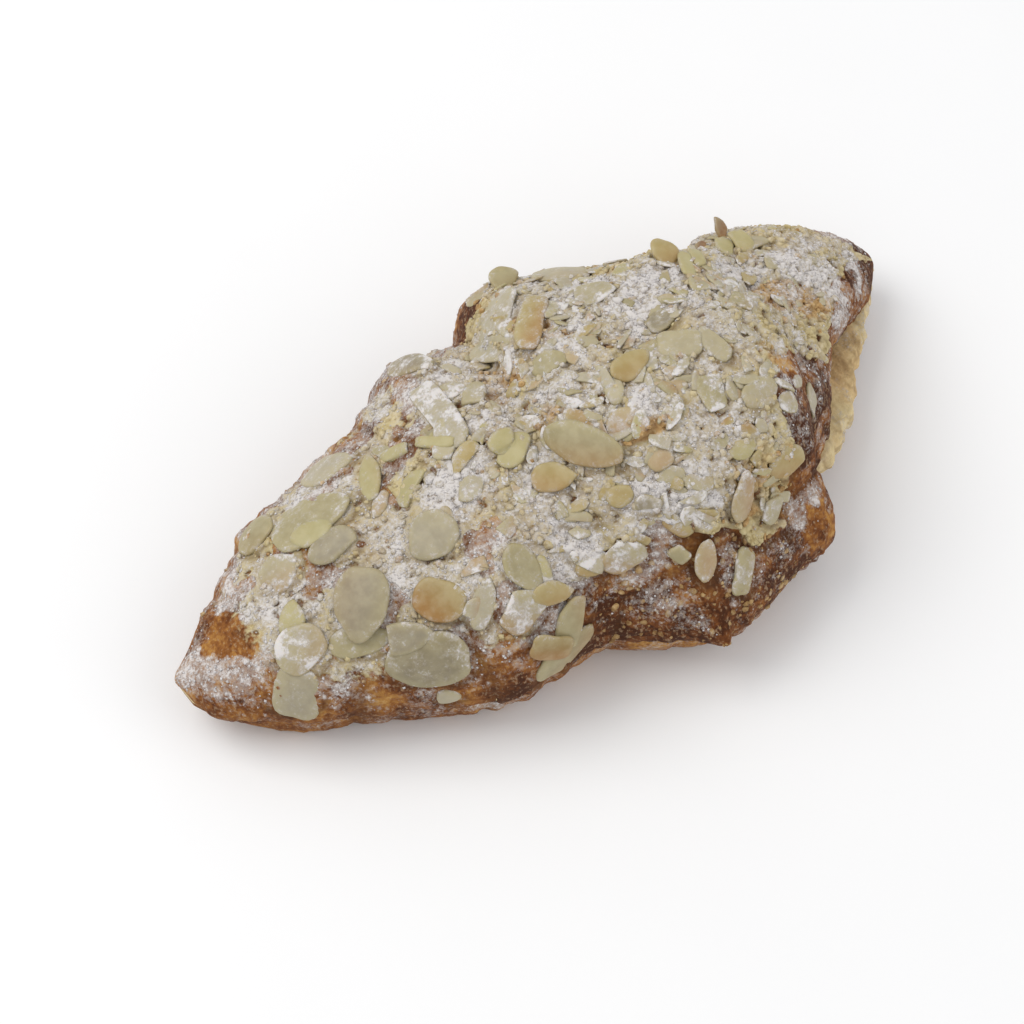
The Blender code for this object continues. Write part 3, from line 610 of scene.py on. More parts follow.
def layers(place, points):
    """The thin edges of the dough's layers, which run round the roll."""
    warped = place + 0.9 * noise(points, 9.0, 31)
    return rough(stacked(warped, 0.0, points[..., 2] * 0.06), 1.7, 32)


def smears(x, points, normals):
    """Thin patches of baked cream between the flakes of the left limb."""
    patches = ease(-0.45, 0.0, rough(points, 5.0, 53, 2)) * ease(0.35, 0.75, normals[..., 2])
    return 0.85 * patches * ease(-69, -60, x) * ease(6, -6, x)


def pits_in(points, topping):
    """1 in small dark holes: those that the photo shows, and some by chance."""
    pits = np.zeros(topping.shape)
    ragged = 0.4 * noise(points, 1.0, 45)
    for x, y in PITS:
        away = np.hypot(points[..., 0] - x, points[..., 1] - y) + ragged
        pits = np.maximum(pits, 1 - ease(0.3, 1.0, away))
    return np.maximum(pits, 0.7 * (ease(0.5, 0.75, noise(points, 1.4, 46)) * topping))


Skin = namedtuple("Skin", "points topping bake golden sugar cavity crumbs")
Marks = namedtuple("Marks", "edge topping smeared pits crease place crumb crack steep ridge")


def crown_marks(x, angle, base, normals):
    """What shapes and colours the crown, each from 0 to 1 apart from the edge and the place."""
    edge = topping_edge(x, angle, base)
    smeared = smears(x, base, normals)
    topping = np.maximum(ease(0.0, 5.0, edge), smeared)
    pits = pits_in(base, topping)
    crease, place = fold_edges(x, angle)
    nearest, second = cells(base, CRUMB_CELL, 41)
    crumb = 1 - ease(0.15, 0.8, nearest)
    crack = 1 - ease(0.03, 0.22, second - nearest)
    steep = ease(math.radians(115), math.radians(160), angle)
    ridge = hump(x - RIDGE_X, RIDGE_WIDTH) * ease(2.4, 2.8, angle)
    topping = topping * (1 - 0.8 * pits)
    return Marks(edge, topping, smeared, pits, crease, place, crumb, crack, steep, ridge)


def crown_relief(base, marks):
    """How far the baked cream and the crust stand out from the plain crown."""
    rim = hump(marks.edge - 6.0, 5.0) * marks.steep
    cream = CRUMB_HEIGHT * marks.crumb - CRACK_DEPTH * marks.crack + LUMP_HEIGHT * rough(base, 5.0, 43, 2)
    cream = cream + GRAIN_HEIGHT * noise(base, 1.3, 42) + RIM_HEIGHT * rim
    crust = LAYER_HEIGHT * layers(marks.place, base) + CRUST_HEIGHT * rough(base, 2.4, 44)
    crust = crust - CREASE_DEPTH * marks.crease + RIDGE_HEIGHT * marks.ridge
    return blend(crust, TOPPING_RISE + cream, ease(0.0, 3.0, marks.edge)) - PIT_DEPTH * marks.pits


def crown_hollows(x, angle, base, marks):
    """How much shade is painted on the crown, up to 1: in pits, creases, cracks, under the topping's edge
    and in the gaps in front of the flakes.
    """
    under_edge = (1 - ease(0.0, 5.0, np.abs(marks.edge + 2.5))) * ease(2.2, 2.6, angle)
    hollows = (
        marks.pits,
        0.5 * marks.crease * (1 - marks.topping),
        0.45 * marks.crack * marks.topping * ease(-0.1, 0.5, noise(base, 4.0, 47)),
        0.8 * under_edge,
        0.75 * flake_edges(x, angle),
    )
    return np.maximum.reduce(hollows)


def crown_skin(x, angle):
    """The crown with its relief, and what covers it."""
    x, angle = np.broadcast_arrays(x, angle)
    base = crown_point(x, angle)
    normals = grid_normals(base)
    marks = crown_marks(x, angle, base, normals)
    relief = crown_relief(base, marks) * ease(1.0, 9.0, reach(x, angle))
    points = drawn_out(base + normals * relief[..., None])
    # Painted shade: dark brown in the crown's hollows and in front of the flakes.
    cavity = crown_hollows(x, angle, base, marks)
    bare, golden, dark, heavy = (spot_mask(base, spots) for spots in (BARE, GOLDEN, DARK, HEAVY_SUGAR))
    bake = BAKE_LEVEL + BROAD_BAKE * rough(base, 14.0, 48) + FINE_BAKE * rough(base, 4.0, 49)
    bake = bake + dark + 0.03 * bare - GOLDEN_BAKE * golden - 0.03 * marks.ridge + STEEP_BAKE * marks.steep
    lying = ease(0.0, 0.8, grid_normals(points)[..., 2])
    patchy = (0.20 + 0.14 * marks.topping) * rough(base, 7.0, 51) + 0.10 * rough(base, 2.4, 52)
    sugar = SUGAR_LEVEL + LYING_SUGAR * lying + patchy + heavy + 0.06 * marks.smeared
    sugar = sugar - (0.6 - 0.1 * marks.topping) * golden - 0.7 * dark
    # Less sugar where shade is painted, so the painted shade stays dark.
    sugar = (sugar - 0.10 * marks.topping - 1.2 * marks.ridge) * (1 - bare) * (1 - 0.8 * cavity)
    crumbs = crumb_share(x, angle, marks.topping) * (1 - bare) * (1 - 0.7 * marks.ridge)
    bake, sugar, cavity = (np.clip(values, 0, 1) for values in (bake, sugar, cavity))
    return Skin(points, marks.topping, bake, golden, sugar, cavity, crumbs)


# Meshes


def new_piece(name, points, faces, material):
    """A smooth-shaded object from points in millimetres and a list of face index arrays."""
    data = bpy.data.meshes.new(name)
    data.from_pydata(to_frame(points).tolist(), [], [face for group in faces for face in group.tolist()])
    data.validate()
    data.shade_smooth()
    data.materials.append(material)
    piece = bpy.data.objects.new(name, data)
    bpy.context.scene.collection.objects.link(piece)
    return piece


def paint(piece, name, values):
    """Stores a number, or three numbers, for each vertex under this name."""
    kind, field = "FLOAT", "value"
    if values.ndim == 2:
        kind, field = "FLOAT_COLOR", "color"
        values = np.pad(values, ((0, 0), (0, 1)), constant_values=1.0)
    layer = piece.data.attributes.new(name, kind, "POINT")
    layer.data.foreach_set(field, values.astype(np.float32).ravel())


def read(items, field, kind, width):
    values = np.empty(len(items) * width, kind)
    items.foreach_get(field, values)
    return values.reshape(-1, width)


def painted(piece, name, channel=None):
    """What paint stored under this name, or one channel of it."""
    layer = piece.data.attributes[name].data
    if channel is None:
        return read(layer, "value", np.float32, 1)[:, 0]
    return read(layer, "color", np.float32, 4)[:, channel]


def tube_faces(rows, ring):
    """Quads between closed rings, with a fan of triangles to a middle point at either end."""
    here = np.arange(ring)
    following = (here + 1) % ring
    first = np.arange(rows - 1)[:, None] * ring
    quads = np.stack((first + here, first + following, first + ring + following, first + ring + here), -1)
    last = (rows - 1) * ring
    start_fan = np.stack((np.full(ring, rows * ring), following, here), -1)
    end_fan = np.stack((np.full(ring, rows * ring + 1), last + here, last + following), -1)
    return [quads.reshape(-1, 4), np.concatenate((start_fan, end_fan))]


def in_a_row(rings):
    """Points or values of closed rings one after another, and then those of the two middle points."""
    middles = np.stack((rings[0].mean(axis=0), rings[-1].mean(axis=0)))
    return np.concatenate((rings.reshape(-1, *rings.shape[2:]), middles))


def tube_piece(name, rings, material):
    return new_piece(name, in_a_row(rings), tube_faces(*rings.shape[:2]), material)


def ride(piece, node=None):
    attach(piece, "root")
    if node:
        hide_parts(node)
    return piece


def upper_lip(x, edge, side):
    """Rows that carry the crust down over the closed seam and back in; side is 1 at the back."""
    closed = 1 - flank(x) if side < 0 else np.ones_like(x)
    closed = closed * ease(2.0, 8.0, np.abs(edge[:, 1] - spine_y(x)))
    wavy = 0.35 * np.sin(0.9 * x + side) + 0.2 * np.sin(2.3 * x)
    rows = []
    for inward, down in LIP_ROWS:
        row = edge.copy()
        row[:, 1] -= side * inward * np.minimum(1.0, closed + 0.3)
        row[:, 2] -= (down + (wavy if down > 1 else 0)) * closed
        rows.append(row)
    return rows


def make_crown(skin, material):
    x, crown = CROWN_X, skin.points
    back_lip = upper_lip(x, crown[:, 0], 1)[::-1]
    front_lip = upper_lip(x, crown[:, -1], -1)
    seam = []
    for step in range(1, SEAM_POINTS):
        y = blend(front_lip[-1][:, 1], back_lip[0][:, 1], step / SEAM_POINTS)
        seam.append(stacked(x, y, seam_z(x) + cream_half_thickness(x, y) + GAP))
    rings = np.concatenate((np.stack(back_lip, 1), crown, np.stack(front_lip + seam, 1)), axis=1)
    piece = tube_piece("crown_crust", rings, material)

    def padded(values):
        left = np.repeat(values[:, :1], len(back_lip), axis=1)
        right = np.repeat(values[:, -1:], len(front_lip) + len(seam), axis=1)
        return in_a_row(np.concatenate((left, values, right), axis=1))

    paint(piece, "cover", stacked(*(padded(values) for values in (skin.topping, skin.bake, skin.sugar))))
    for name in ("cavity", "crumbs", "golden"):
        paint(piece, name, padded(getattr(skin, name)))
    return ride(piece, "upper_half")


def lower_side(x, side):
    """Points of one side of the lower half from its rim down, and its creases; side is 1 at the back."""
    angle = 0.0 if side > 0 else math.pi
    width = np.maximum(reach(x, angle) - LOWER_INSET, LEAST_HALF_WIDTH)
    top = seam_z(x) - cream_half_thickness(x, spine_y(x) + side * width) - GAP
    depth = top * ease(0.0, TIP_LIFT, 1 - np.abs(along(x))) + BASE_CUT
    drop = np.linspace(0, 1, LOWER_SIDE_POINTS)
    inward = (1 - (SIDE_TUCK * drop) ** SIDE_SQUARENESS) ** (1 / SIDE_SQUARENESS)
    y = spine_y(x) + side * width * inward
    points = stacked(x, y, np.maximum(top - drop * depth, 0.0))
    crease, place = fold_edges(points[..., 0], np.full(y.shape, angle))
    relief = LOWER_LAYER_HEIGHT * layers(place, points) + LOWER_CRUST_HEIGHT * rough(points, 3.0, 61)
    fade = ease(0, 0.12, drop) * ease(1.0, 0.8, drop) * ease(2, 9, width)
    points[..., 1] += side * (relief - CREASE_DEPTH * crease - LOWER_SUNK) * fade
    return points, crease


def make_lower(material):
    x = stations(LOWER_STATIONS)[:, None]
    front, front_crease = lower_side(x, -1)
    back, back_crease = lower_side(x, 1)
    share = np.linspace(0, 1, SEAM_POINTS + 1)[None, 1:-1]
    base = stacked(x, blend(front[:, -1:, 1], back[:, -1:, 1], share), np.maximum(front[:, -1:, 2], 0.0))
    top_y = blend(back[:, :1, 1], front[:, :1, 1], share)
    top = stacked(x, top_y, seam_z(x) - cream_half_thickness(x, top_y) - GAP)
    rings = drawn_out(np.concatenate((front, base, back[:, ::-1], top), axis=1)[:, ::-1])
    piece = tube_piece("lower_crust", rings, material)
    flat = in_a_row(rings)
    bake = LOWER_BAKE + BROAD_BAKE * rough(flat, 12.0, 62)
    low = ease(9.0, 1.0, flat[:, 2])
    sugar = np.clip(LOWER_SUGAR + PATCHY_SUGAR * rough(flat, 5.0, 63) - 0.25 * low, 0, 1)
    paint(piece, "cover", stacked(0.0, bake, sugar * (flat[:, 2] > 0.3)))
    plain = np.zeros(top_y.shape)
    crease = np.concatenate((front_crease, plain, back_crease[:, ::-1], plain), axis=1)[:, ::-1]
    # Painted shade in the creases of the lower half.
    paint(piece, "cavity", in_a_row(0.5 * crease))
    ride(piece, "lower_half")


def make_cream(material):
    x = stations(CREAM_STATIONS)
    lumps = sum(height * np.sin(quickness * x + phase) for height, quickness, phase in CREAM_LUMPS)
    front = reach(x, math.pi) + blend(-CREAM_INSET, CREAM_OVERHANG + lumps, flank(x))
    front_y = spine_y(x) - np.maximum(front, LEAST_HALF_WIDTH)
    back_y = spine_y(x) + np.maximum(reach(x, 0.0) - CREAM_INSET, LEAST_HALF_WIDTH)

    def row(share, side):
        y = blend(back_y, front_y, share)
        return stacked(x, y, seam_z(x) + side * cream_half_thickness(x, y))

    shares = np.linspace(0, 1, SEAM_POINTS + 2) ** 0.6
    top_rows = [row(share, 1) for share in shares]
    low_rows = [row(share, -1) for share in shares[::-1]]
    half = cream_half_thickness(x, front_y)
    nose_rows = []
    for turn in np.linspace(0, math.pi, CREAM_POINTS + 2)[1:-1]:
        nose_y = front_y - CREAM_NOSE * NOSE_FULLNESS * half * math.sin(turn)
        nose_rows.append(stacked(x, nose_y, seam_z(x) + half * math.cos(turn)))
    rings = np.stack(top_rows + nose_rows + low_rows, axis=1)
    is_open = flank(rings[..., 0]) * ease(9.0, 6.0, rings[..., 1] - front_y[:, None])
    nearest, second = cells(rings, 3.0, 71)
    lumpy = 0.7 * (1 - ease(0.1, 0.8, nearest)) + 0.35 * rough(rings, 1.8, 72)
    rings[..., 1] -= is_open * (lumpy - 0.3)
    on_top = np.arange(rings.shape[1]) < len(top_rows)
    swelling = 1.0 + noise(rings * (1, 1, 0), 6.0, 75)
    rings[..., 2] += on_top * is_open * (0.5 * lumpy + 0.7 * swelling)
    rings = drawn_out(rings)
    piece = tube_piece("cream_layer", rings, material)
    flat = in_a_row(rings)
    golden = 1.1 * hump(flat[:, 0] - GOLDEN_STRIP_X, 5) + 0.4 * ease(0.0, 0.6, noise(flat, 4.0, 73))
    sugar = np.clip(LAYER_SUGAR + PATCHY_SUGAR * rough(flat, 4.0, 74), 0, 1)
    paint(piece, "cover", stacked(1.0, 0.0, sugar))
    paint(piece, "golden", np.clip(golden, 0, 1))
    # Painted shade in the cracks of the open cream.
    crack = 1 - ease(0.03, 0.22, second - nearest)
    paint(piece, "cavity", in_a_row(0.4 * crack * is_open))
    ride(piece, "almond_cream")


# Flakes


def outline(shape, count, cuts, chance):
    """Half-size outline of a flake, a little uneven, with straight broken edges."""
    turn = np.linspace(0, 2 * math.pi, count, endpoint=False)
    power = shape.squareness
    size = (np.abs(np.cos(turn)) ** power + np.abs(np.sin(turn)) ** power) ** (-1 / power)
    for bulges, height in OUTLINE_BULGES:
        size = size * (1 + height * np.sin(bulges * turn + chance.uniform(*PHASES)))
    across = size * np.sin(turn) * (1 - shape.narrowing * np.cos(turn))
    across = across * (1 - shape.point * np.maximum(np.cos(turn), 0) ** 3)
    rim = np.stack((size * np.cos(turn), across), axis=-1)
    for degrees_round, depth in cuts:
        way = np.array((math.cos(math.radians(degrees_round)), math.sin(math.radians(degrees_round))))
        rim = rim - np.outer(np.maximum(rim @ way - depth, 0.0), way)
    return rim


def random_cuts(count, deepest, chance):
    return [(chance.uniform(0, 360), chance.uniform(deepest, 0.9)) for _ in range(count)]


Seat = namedtuple("Seat", "middle forward back out radius")


def crown_seat(flake):
    """A flake's point on the plain crown, the ways along, back and out there, and the crown's radius."""
    angle = math.radians(flake.angle)
    away = SEAT_SPAN * (flake.length + flake.width)
    radius = max(float(reach(float(flake.x), angle)), away)
    xs = flake.x + away * np.array((0, -1, 1, 0, 0))
    angles = angle + away / radius * np.array((0, 0, 0, -1, 1))
    middle, left, right, back, front = crown_point(xs, angles)
    forward = unit(right - left)
    out = unit(np.cross(forward, back - front))
    return Seat(middle, forward, np.cross(out, forward), out, radius)


def places_under(flake, lengthways, sideways, radius):
    """x and angle on the crown of points given in millimetres along and across the flake."""
    along_roll, to_back = turned(lengthways, sideways, -flake.turn)
    xs = np.clip(flake.x + along_roll, LEFT_TIP + 1, RIGHT_TIP - 1)
    return xs, np.clip(math.radians(flake.angle) - to_back / radius, 0.0, math.pi)


def bend_with_crown(flake, seat, xs, angles):
    """How far a lying flake bends with the crown under it."""
    if abs(flake.lean) > LYING_LEAN:
        return np.zeros(xs.shape)
    fall = BEND_WITH_CROWN * ((crown_point(xs, angles) - seat.middle) @ seat.out)
    return np.clip(fall, -MOST_BEND, MOST_BEND)


def seat_height(flake, seat):
    """How far out the flake rests, from the crown's relief under it."""
    steps = np.linspace(-1, 1, 7)
    u, v = np.meshgrid(steps, steps)
    inside = u**2 + v**2 <= 1
    lengthways, sideways = u[inside] * SEAT_SHARE * flake.length, v[inside] * SEAT_SHARE * flake.width
    xs, angles = places_under(flake, lengthways, sideways, seat.radius)
    heights = (relief_at(xs, angles) - seat.middle) @ seat.out - bend_with_crown(flake, seat, xs, angles)
    return float(np.percentile(heights, SEAT_ON_BUMPS)) + flake.layer * LAYER_STEP


def relief_at(xs, angles):
    """Points of the finished crown, looked up in its grid."""
    rows = np.interp(xs, CROWN_X, np.arange(CROWN_STATIONS))
    columns = angles / math.pi * (CROWN_POINTS - 1)
    return crown_cover.points[np.rint(rows).astype(int), np.rint(columns).astype(int)]


def flake_rings(flake, rim, thickness, profile, chance):
    """Rings of points from the flake's top middle over its edge to its underside's middle."""
    seat = crown_seat(flake)
    turn, lean = math.radians(flake.turn), math.radians(flake.lean)
    lengthways = seat.forward * math.cos(turn) + seat.back * math.sin(turn)
    sideways = np.cross(seat.out, lengthways) * math.cos(lean) + seat.out * math.sin(lean)
    face = np.cross(lengthways, sideways)
    lift = seat_height(flake, seat) + abs(math.sin(lean)) * flake.width * LEAN_LIFT
    curl, twist, ripple, phase = (chance.uniform(*ends) for ends in (CURLS, TWISTS, RIPPLES, PHASES))
    rings = []
    for size, height in profile:
        u, v = rim[:, 0] * size, rim[:, 1] * size
        shape = curl * u * np.abs(u) - FLAKE_DROOP * (v**2 + 0.5 * u**2) + twist * u * v
        shape = flake.width * (shape + ripple * np.sin(4 * u + 3 * v + phase))
        u, v = u * flake.length / 2, v * flake.width / 2
        ring = seat.middle + seat.out * lift + np.outer(u, lengthways) + np.outer(v, sideways)
        ring = ring + np.outer(shape + thickness * height - FLAKE_SUNK, face)
        xs, angles = places_under(flake, u, v * math.cos(lean), seat.radius)
        rings.append(ring + np.outer(bend_with_crown(flake, seat, xs, angles), seat.out))
    return np.stack(rings)


def edge_profile(half_width, thickness, inner):
    """Ring sizes and heights: flat faces with a small round edge between them."""
    round_edge = min(0.5 * thickness / half_width, 0.3)
    flat = 1 - round_edge
    top = [(size * flat, 1.0) for size in inner]
    edge = [(flat, 0.98), (1 - 0.3 * round_edge, 0.86), (1.0, 0.5)]
    under = [(1 - 0.3 * round_edge, 0.14), (flat, 0.0), (inner[0], 0.0)]
    return top + edge + under


def flake_colours(flake, rim, profile, chance):
    """The tone of each ring's points, with a paler rim, toasted towards one side and with a painted
    highlight towards the other, and how dusted they are.
    """
    base = np.array(TONES[flake.tone]) * chance.uniform(0.95, 1.05)
    way = chance.uniform(-0.7, 0.7) - math.pi / 2
    tones, dust = [], []
    for size, _ in profile:
        towards = rim[:, 0] * size * math.cos(way) + rim[:, 1] * size * math.sin(way)
        edge = ease(0.6, 1.0, np.full((len(rim), 1), size))
        toasted = np.clip(1.3 * flake.toast * ease(-0.5, 0.9, towards), 0, 1)[:, None]
        # Painted highlight: the side away from the toast is made lighter, as if lit.
        lit = 0.4 * ease(0.1, 0.9, -towards)[:, None]
        plain = blend(base, RIM_AND_HIGHLIGHT_TONE, np.maximum(0.4 * edge, lit))
        tones.append(blend(plain, TOAST, toasted))
        dust.append(flake.dust + EDGE_DUST * edge[:, 0])
    return np.stack(tones), np.stack(dust)


def chance_flake(x, angle, turn, length, width, lean, chance):
    """A flake at this place, with its shape, tone and dust by chance."""
    tone = chance.choice(CHANCE_TONES)
    shape = chance.choice(CHANCE_SHAPES)
    toast = chance.choice(CHANCE_TOAST)
    return Flake(x, angle, turn, length, width, lean, 0, shape, tone, toast, chance.uniform(*CHANCE_DUST))


def broken_flakes():
    """The broken flakes, where the solids have them."""
    chance, tone_chance = random.Random(SEED), random.Random(TONE_SEED)
    pieces = []
    for _ in range(BROKEN_FLAKES):
        x = chance.uniform(*BROKEN_ALONG)
        angle = chance.uniform(*BROKEN_ROUND)
        length = chance.uniform(*BROKEN_LENGTH)
        width = length * chance.uniform(*BROKEN_NARROWNESS)
        turn = chance.uniform(0, 180)
        lean = chance.uniform(-BROKEN_LEAN, BROKEN_LEAN)
        pieces.append(chance_flake(x, angle, turn, length, width, lean, tone_chance))
    return pieces


def slivers():
    """Slivers and crumbs of flake in the topping."""
    chance = random.Random(SLIVER_SEED)
    pieces = []
    for _ in range(SLIVERS):
        x = chance.triangular(*SLIVER_ALONG)
        back, front = (np.interp(x, *zip(*edge)) for edge in (TOPPING_BACK, TOPPING_FRONT))
        angle = chance.uniform(back + 4, front - 2)
        length = chance.uniform(*SLIVER_LENGTH)
        width = length * chance.uniform(*SLIVER_NARROWNESS)
        lean = chance.uniform(-SLIVER_LEAN, SLIVER_LEAN)
        pieces.append(chance_flake(x, angle, chance.uniform(0, 180), length, width, lean, chance))
    return pieces


def make_flakes(flakes, batch, material):
    """One mesh of all these flakes."""
    chance = random.Random(batch.seed)
    points, faces, tones, dusts = [], ([], []), [], []
    start = 0
    for flake in flakes:
        shape = SHAPES[flake.shape]
        cuts = (*shape.cuts, *random_cuts(chance.randint(*batch.cuts), batch.deepest, chance))
        rim = outline(shape, batch.points, cuts, chance)
        profile = edge_profile(min(flake.length, flake.width) / 2, batch.thickness, batch.inner)
        rings = flake_rings(flake, rim, batch.thickness, profile, chance)
        colours, dust = flake_colours(flake, rim, profile, chance)
        points.append(in_a_row(rings))
        for group, found in zip(faces, tube_faces(*rings.shape[:2])):
            group.append(found + start)
        tones.append(in_a_row(colours))
        dusts.append(in_a_row(dust))
        start += len(points[-1])
    faces = [np.concatenate(group) for group in faces]
    piece = new_piece(batch.name, np.concatenate(points), faces, material)
    paint(piece, "tone", np.concatenate(tones))
    paint(piece, "dust", np.concatenate(dusts))
    return piece


# Grains

Scattered = namedtuple("Scattered", "spots normals vertices chance")


def scatter(amounts, lumps):
    """Random points on pieces, with their normals, as often as each piece's amounts allow.

    Faces that look down more than the lumps' steepest get none."""
    chance = np.random.default_rng(lumps.seed)
    found = []
    for piece, amount in amounts:
        data = piece.data
        data.calc_loop_triangles()
        triangles = read(data.loop_triangles, "vertices", np.int32, 3)
        corners = read(data.vertices, "co", np.float32, 3)[triangles]
        cross = np.cross(corners[:, 1] - corners[:, 0], corners[:, 2] - corners[:, 0])
        area = np.linalg.norm(cross, axis=1)
        normals = cross / np.maximum(area, 1e-12)[:, None]
        up = np.clip(normals[:, 2] + lumps.steepest, 0, 1)
        weights = area * up * amount[triangles].mean(axis=1) ** 1.5
        found.append((corners, normals, triangles[:, 0], weights))
    corners, normals, vertices, weights = (np.concatenate(group) for group in zip(*found))
    chosen = chance.choice(len(weights), lumps.count, p=weights / weights.sum())
    first, second = chance.random(lumps.count), chance.random(lumps.count)
    flip = first + second > 1
    first[flip], second[flip] = 1 - first[flip], 1 - second[flip]
    corners = corners[chosen]
    spots = corners[:, 0] + first[:, None] * (corners[:, 1] - corners[:, 0])
    spots = spots + second[:, None] * (corners[:, 2] - corners[:, 0])
    return Scattered(spots, normals[chosen], vertices[chosen], chance)


def rounder(points, faces):
    """The same closed form with each face split in four and its new points pushed out."""
    points, new_faces, middles = [np.array(point) for point in points], [], {}

    def middle_of(first, second):
        key = (min(first, second), max(first, second))
        if key not in middles:
            middles[key] = len(points)
            points.append(unit(points[first] + points[second]))
        return middles[key]

    for a, b, c in faces:
        ab, bc, ca = middle_of(a, b), middle_of(b, c), middle_of(c, a)
        new_faces += [(a, ab, ca), (ab, b, bc), (ca, bc, c), (ab, bc, ca)]
    return np.stack(points), np.array(new_faces)


def make_grains(scattered, lumps, form, material):
    """Small uneven lumps that lie on the pieces."""
    spots, normals, chance = scattered.spots, scattered.normals, scattered.chance
    form_points, form_faces = form
    count, corners = lumps.count, len(form_points)
    size = blend(*lumps.sizes, chance.random(count) ** lumps.crowding) * MM / 2
    shape = form_points[None] * chance.uniform(0.65, 1.25, (count, corners, 1)) * size[:, None, None]
    spin = chance.uniform(0, 2 * math.pi, count)[:, None]
    helper = np.where(np.abs(normals[:, 2:3]) < 0.9, (0.0, 0.0, 1.0), (1.0, 0.0, 0.0))
    side = unit(np.cross(normals, helper))
    first = side * np.cos(spin) + np.cross(normals, side) * np.sin(spin)
    second = np.cross(normals, first)
    longer = chance.uniform(0.8, 1.4, (count, 1, 1))
    local = longer * shape[..., 0:1] * first[:, None] + shape[..., 1:2] * second[:, None]
    local = local + lumps.flatness * shape[..., 2:3] * normals[:, None]
    centres = spots + normals * (size * (0.5 - lumps.sunk))[:, None]
    points = (centres[:, None] + local).reshape(-1, 3) / MM + np.array((*ROLL_CENTRE, 0.0))
    faces = (form_faces[None] + corners * np.arange(count)[:, None, None]).reshape(-1, 3)
    return new_piece(lumps.name, points, [faces], material)


def make_crumbs(host, lumps, material):
    """Crumbs of baked almond cream, as dusted as what they lie on, and browner on the bare crust."""
    scattered = scatter([(host, painted(host, "crumbs"))], lumps)
    form = rounder(OCTAHEDRON, OCTAHEDRON_FACES)
    piece = make_grains(scattered, lumps, form, material)
    on_topping = painted(host, "cover", 0)[scattered.vertices] > 0.5
    chance = np.random.default_rng(CRUMB_TONE_SEED)
    golden = np.where(on_topping, painted(host, "golden")[scattered.vertices], 0.8)
    golden = golden + 0.6 * (chance.random(lumps.count) < 0.12)
    sugar = painted(host, "cover", 2)[scattered.vertices] * chance.uniform(0.7, 1.2, lumps.count)
    browned = np.where(on_topping, 0.0, 0.1 + 0.4 * chance.random(lumps.count))
    cover = stacked(1.0, 0.0, np.clip(sugar, 0, 1))
    for name, values in (("cover", cover), ("cavity", browned), ("golden", np.clip(golden, 0, 1))):
        paint(piece, name, np.repeat(values, len(form[0]), axis=0))
    return piece


# Materials


class Nodes:
    """A material's node tree with short ways to add to it."""

    def __init__(self, name, roughness, specular=0.5):
        self.material = bpy.data.materials.new(name)
        self.material.use_nodes = True
        self.tree = self.material.node_tree
        self.shader = self.tree.nodes["Principled BSDF"]
        self.put(self.shader, "Roughness", roughness)
        self.put(self.shader, "Specular IOR Level", specular)
        self.place = self.add("ShaderNodeTexCoord").outputs["Object"]

    def put(self, node, key, value):
        """Gives a node's input a number, a colour, or a link to another node."""
        if isinstance(value, bpy.types.NodeSocket):
            self.tree.links.new(value, node.inputs[key])
        elif node.inputs[key].type == "RGBA":
            node.inputs[key].default_value = (*value, 1)
        else:
            node.inputs[key].default_value = value

    def add(self, kind, inputs=None, **settings):
        node = self.tree.nodes.new(kind)
        for key, value in settings.items():
            setattr(node, key, value)
        for key, value in (inputs or {}).items():
            self.put(node, key, value)
        return node

    def noise(self, size_mm, detail=3.0, roughness=0.55, stretch=None):
        """Noise from 0 to 1 whose features are about this size."""
        place = self.place
        if stretch:
            place = self.add("ShaderNodeMapping", {"Vector": place, "Scale": stretch}).outputs[0]
        inputs = {"Vector": place, "Scale": 1 / (size_mm * MM), "Detail": detail, "Roughness": roughness}
        return self.add("ShaderNodeTexNoise", inputs).outputs["Fac"]

    def maths(self, operation, total, *others):
        for other in others:
            total = self.add("ShaderNodeMath", {0: total, 1: other}, operation=operation).outputs[0]
        return total

    def plus(self, *values):
        return self.maths("ADD", *values)

    def times(self, *values):
        return self.maths("MULTIPLY", *values)

    def swing(self, value, width=1.0):
        """A value from 0 to 1 as one this wide with 0 in its middle."""
        return self.times(self.plus(value, -0.5), width)

    def ramp(self, factor, stops):
        """A colour ramp, whose first two stops are its ends."""
        node = self.add("ShaderNodeValToRGB", {"Fac": factor})
        elements = node.color_ramp.elements
        for index, (place, colour) in enumerate(stops):
            element = elements[index] if index < 2 else elements.new(place)
            element.position = place
            element.color = (*colour, 1)
        return node.outputs["Color"]

    def rise(self, value, low, high):
        """0 below low, 1 above high."""
        inputs = {"Value": value, "From Min": low, "From Max": high}
        return self.add("ShaderNodeMapRange", inputs, interpolation_type="SMOOTHSTEP").outputs["Result"]

    def mix(self, factor, first, second):
        return self.add("ShaderNodeMix", {0: factor, 6: first, 7: second}, data_type="RGBA").outputs[2]

    def attribute(self, name, output="Fac"):
        return self.add("ShaderNodeAttribute", attribute_name=name).outputs[output]

    def cover(self):
        """How much topping, bake and sugar there is."""
        return self.add("ShaderNodeSeparateColor", {"Color": self.attribute("cover", "Color")}).outputs

    def finish(self, colour, height, depth_mm):
        self.put(self.shader, "Base Color", colour)
        bump = self.add("ShaderNodeBump", {"Height": height, "Distance": depth_mm * MM, "Strength": 1.0})
        self.put(self.shader, "Normal", bump.outputs[0])
        return self.material


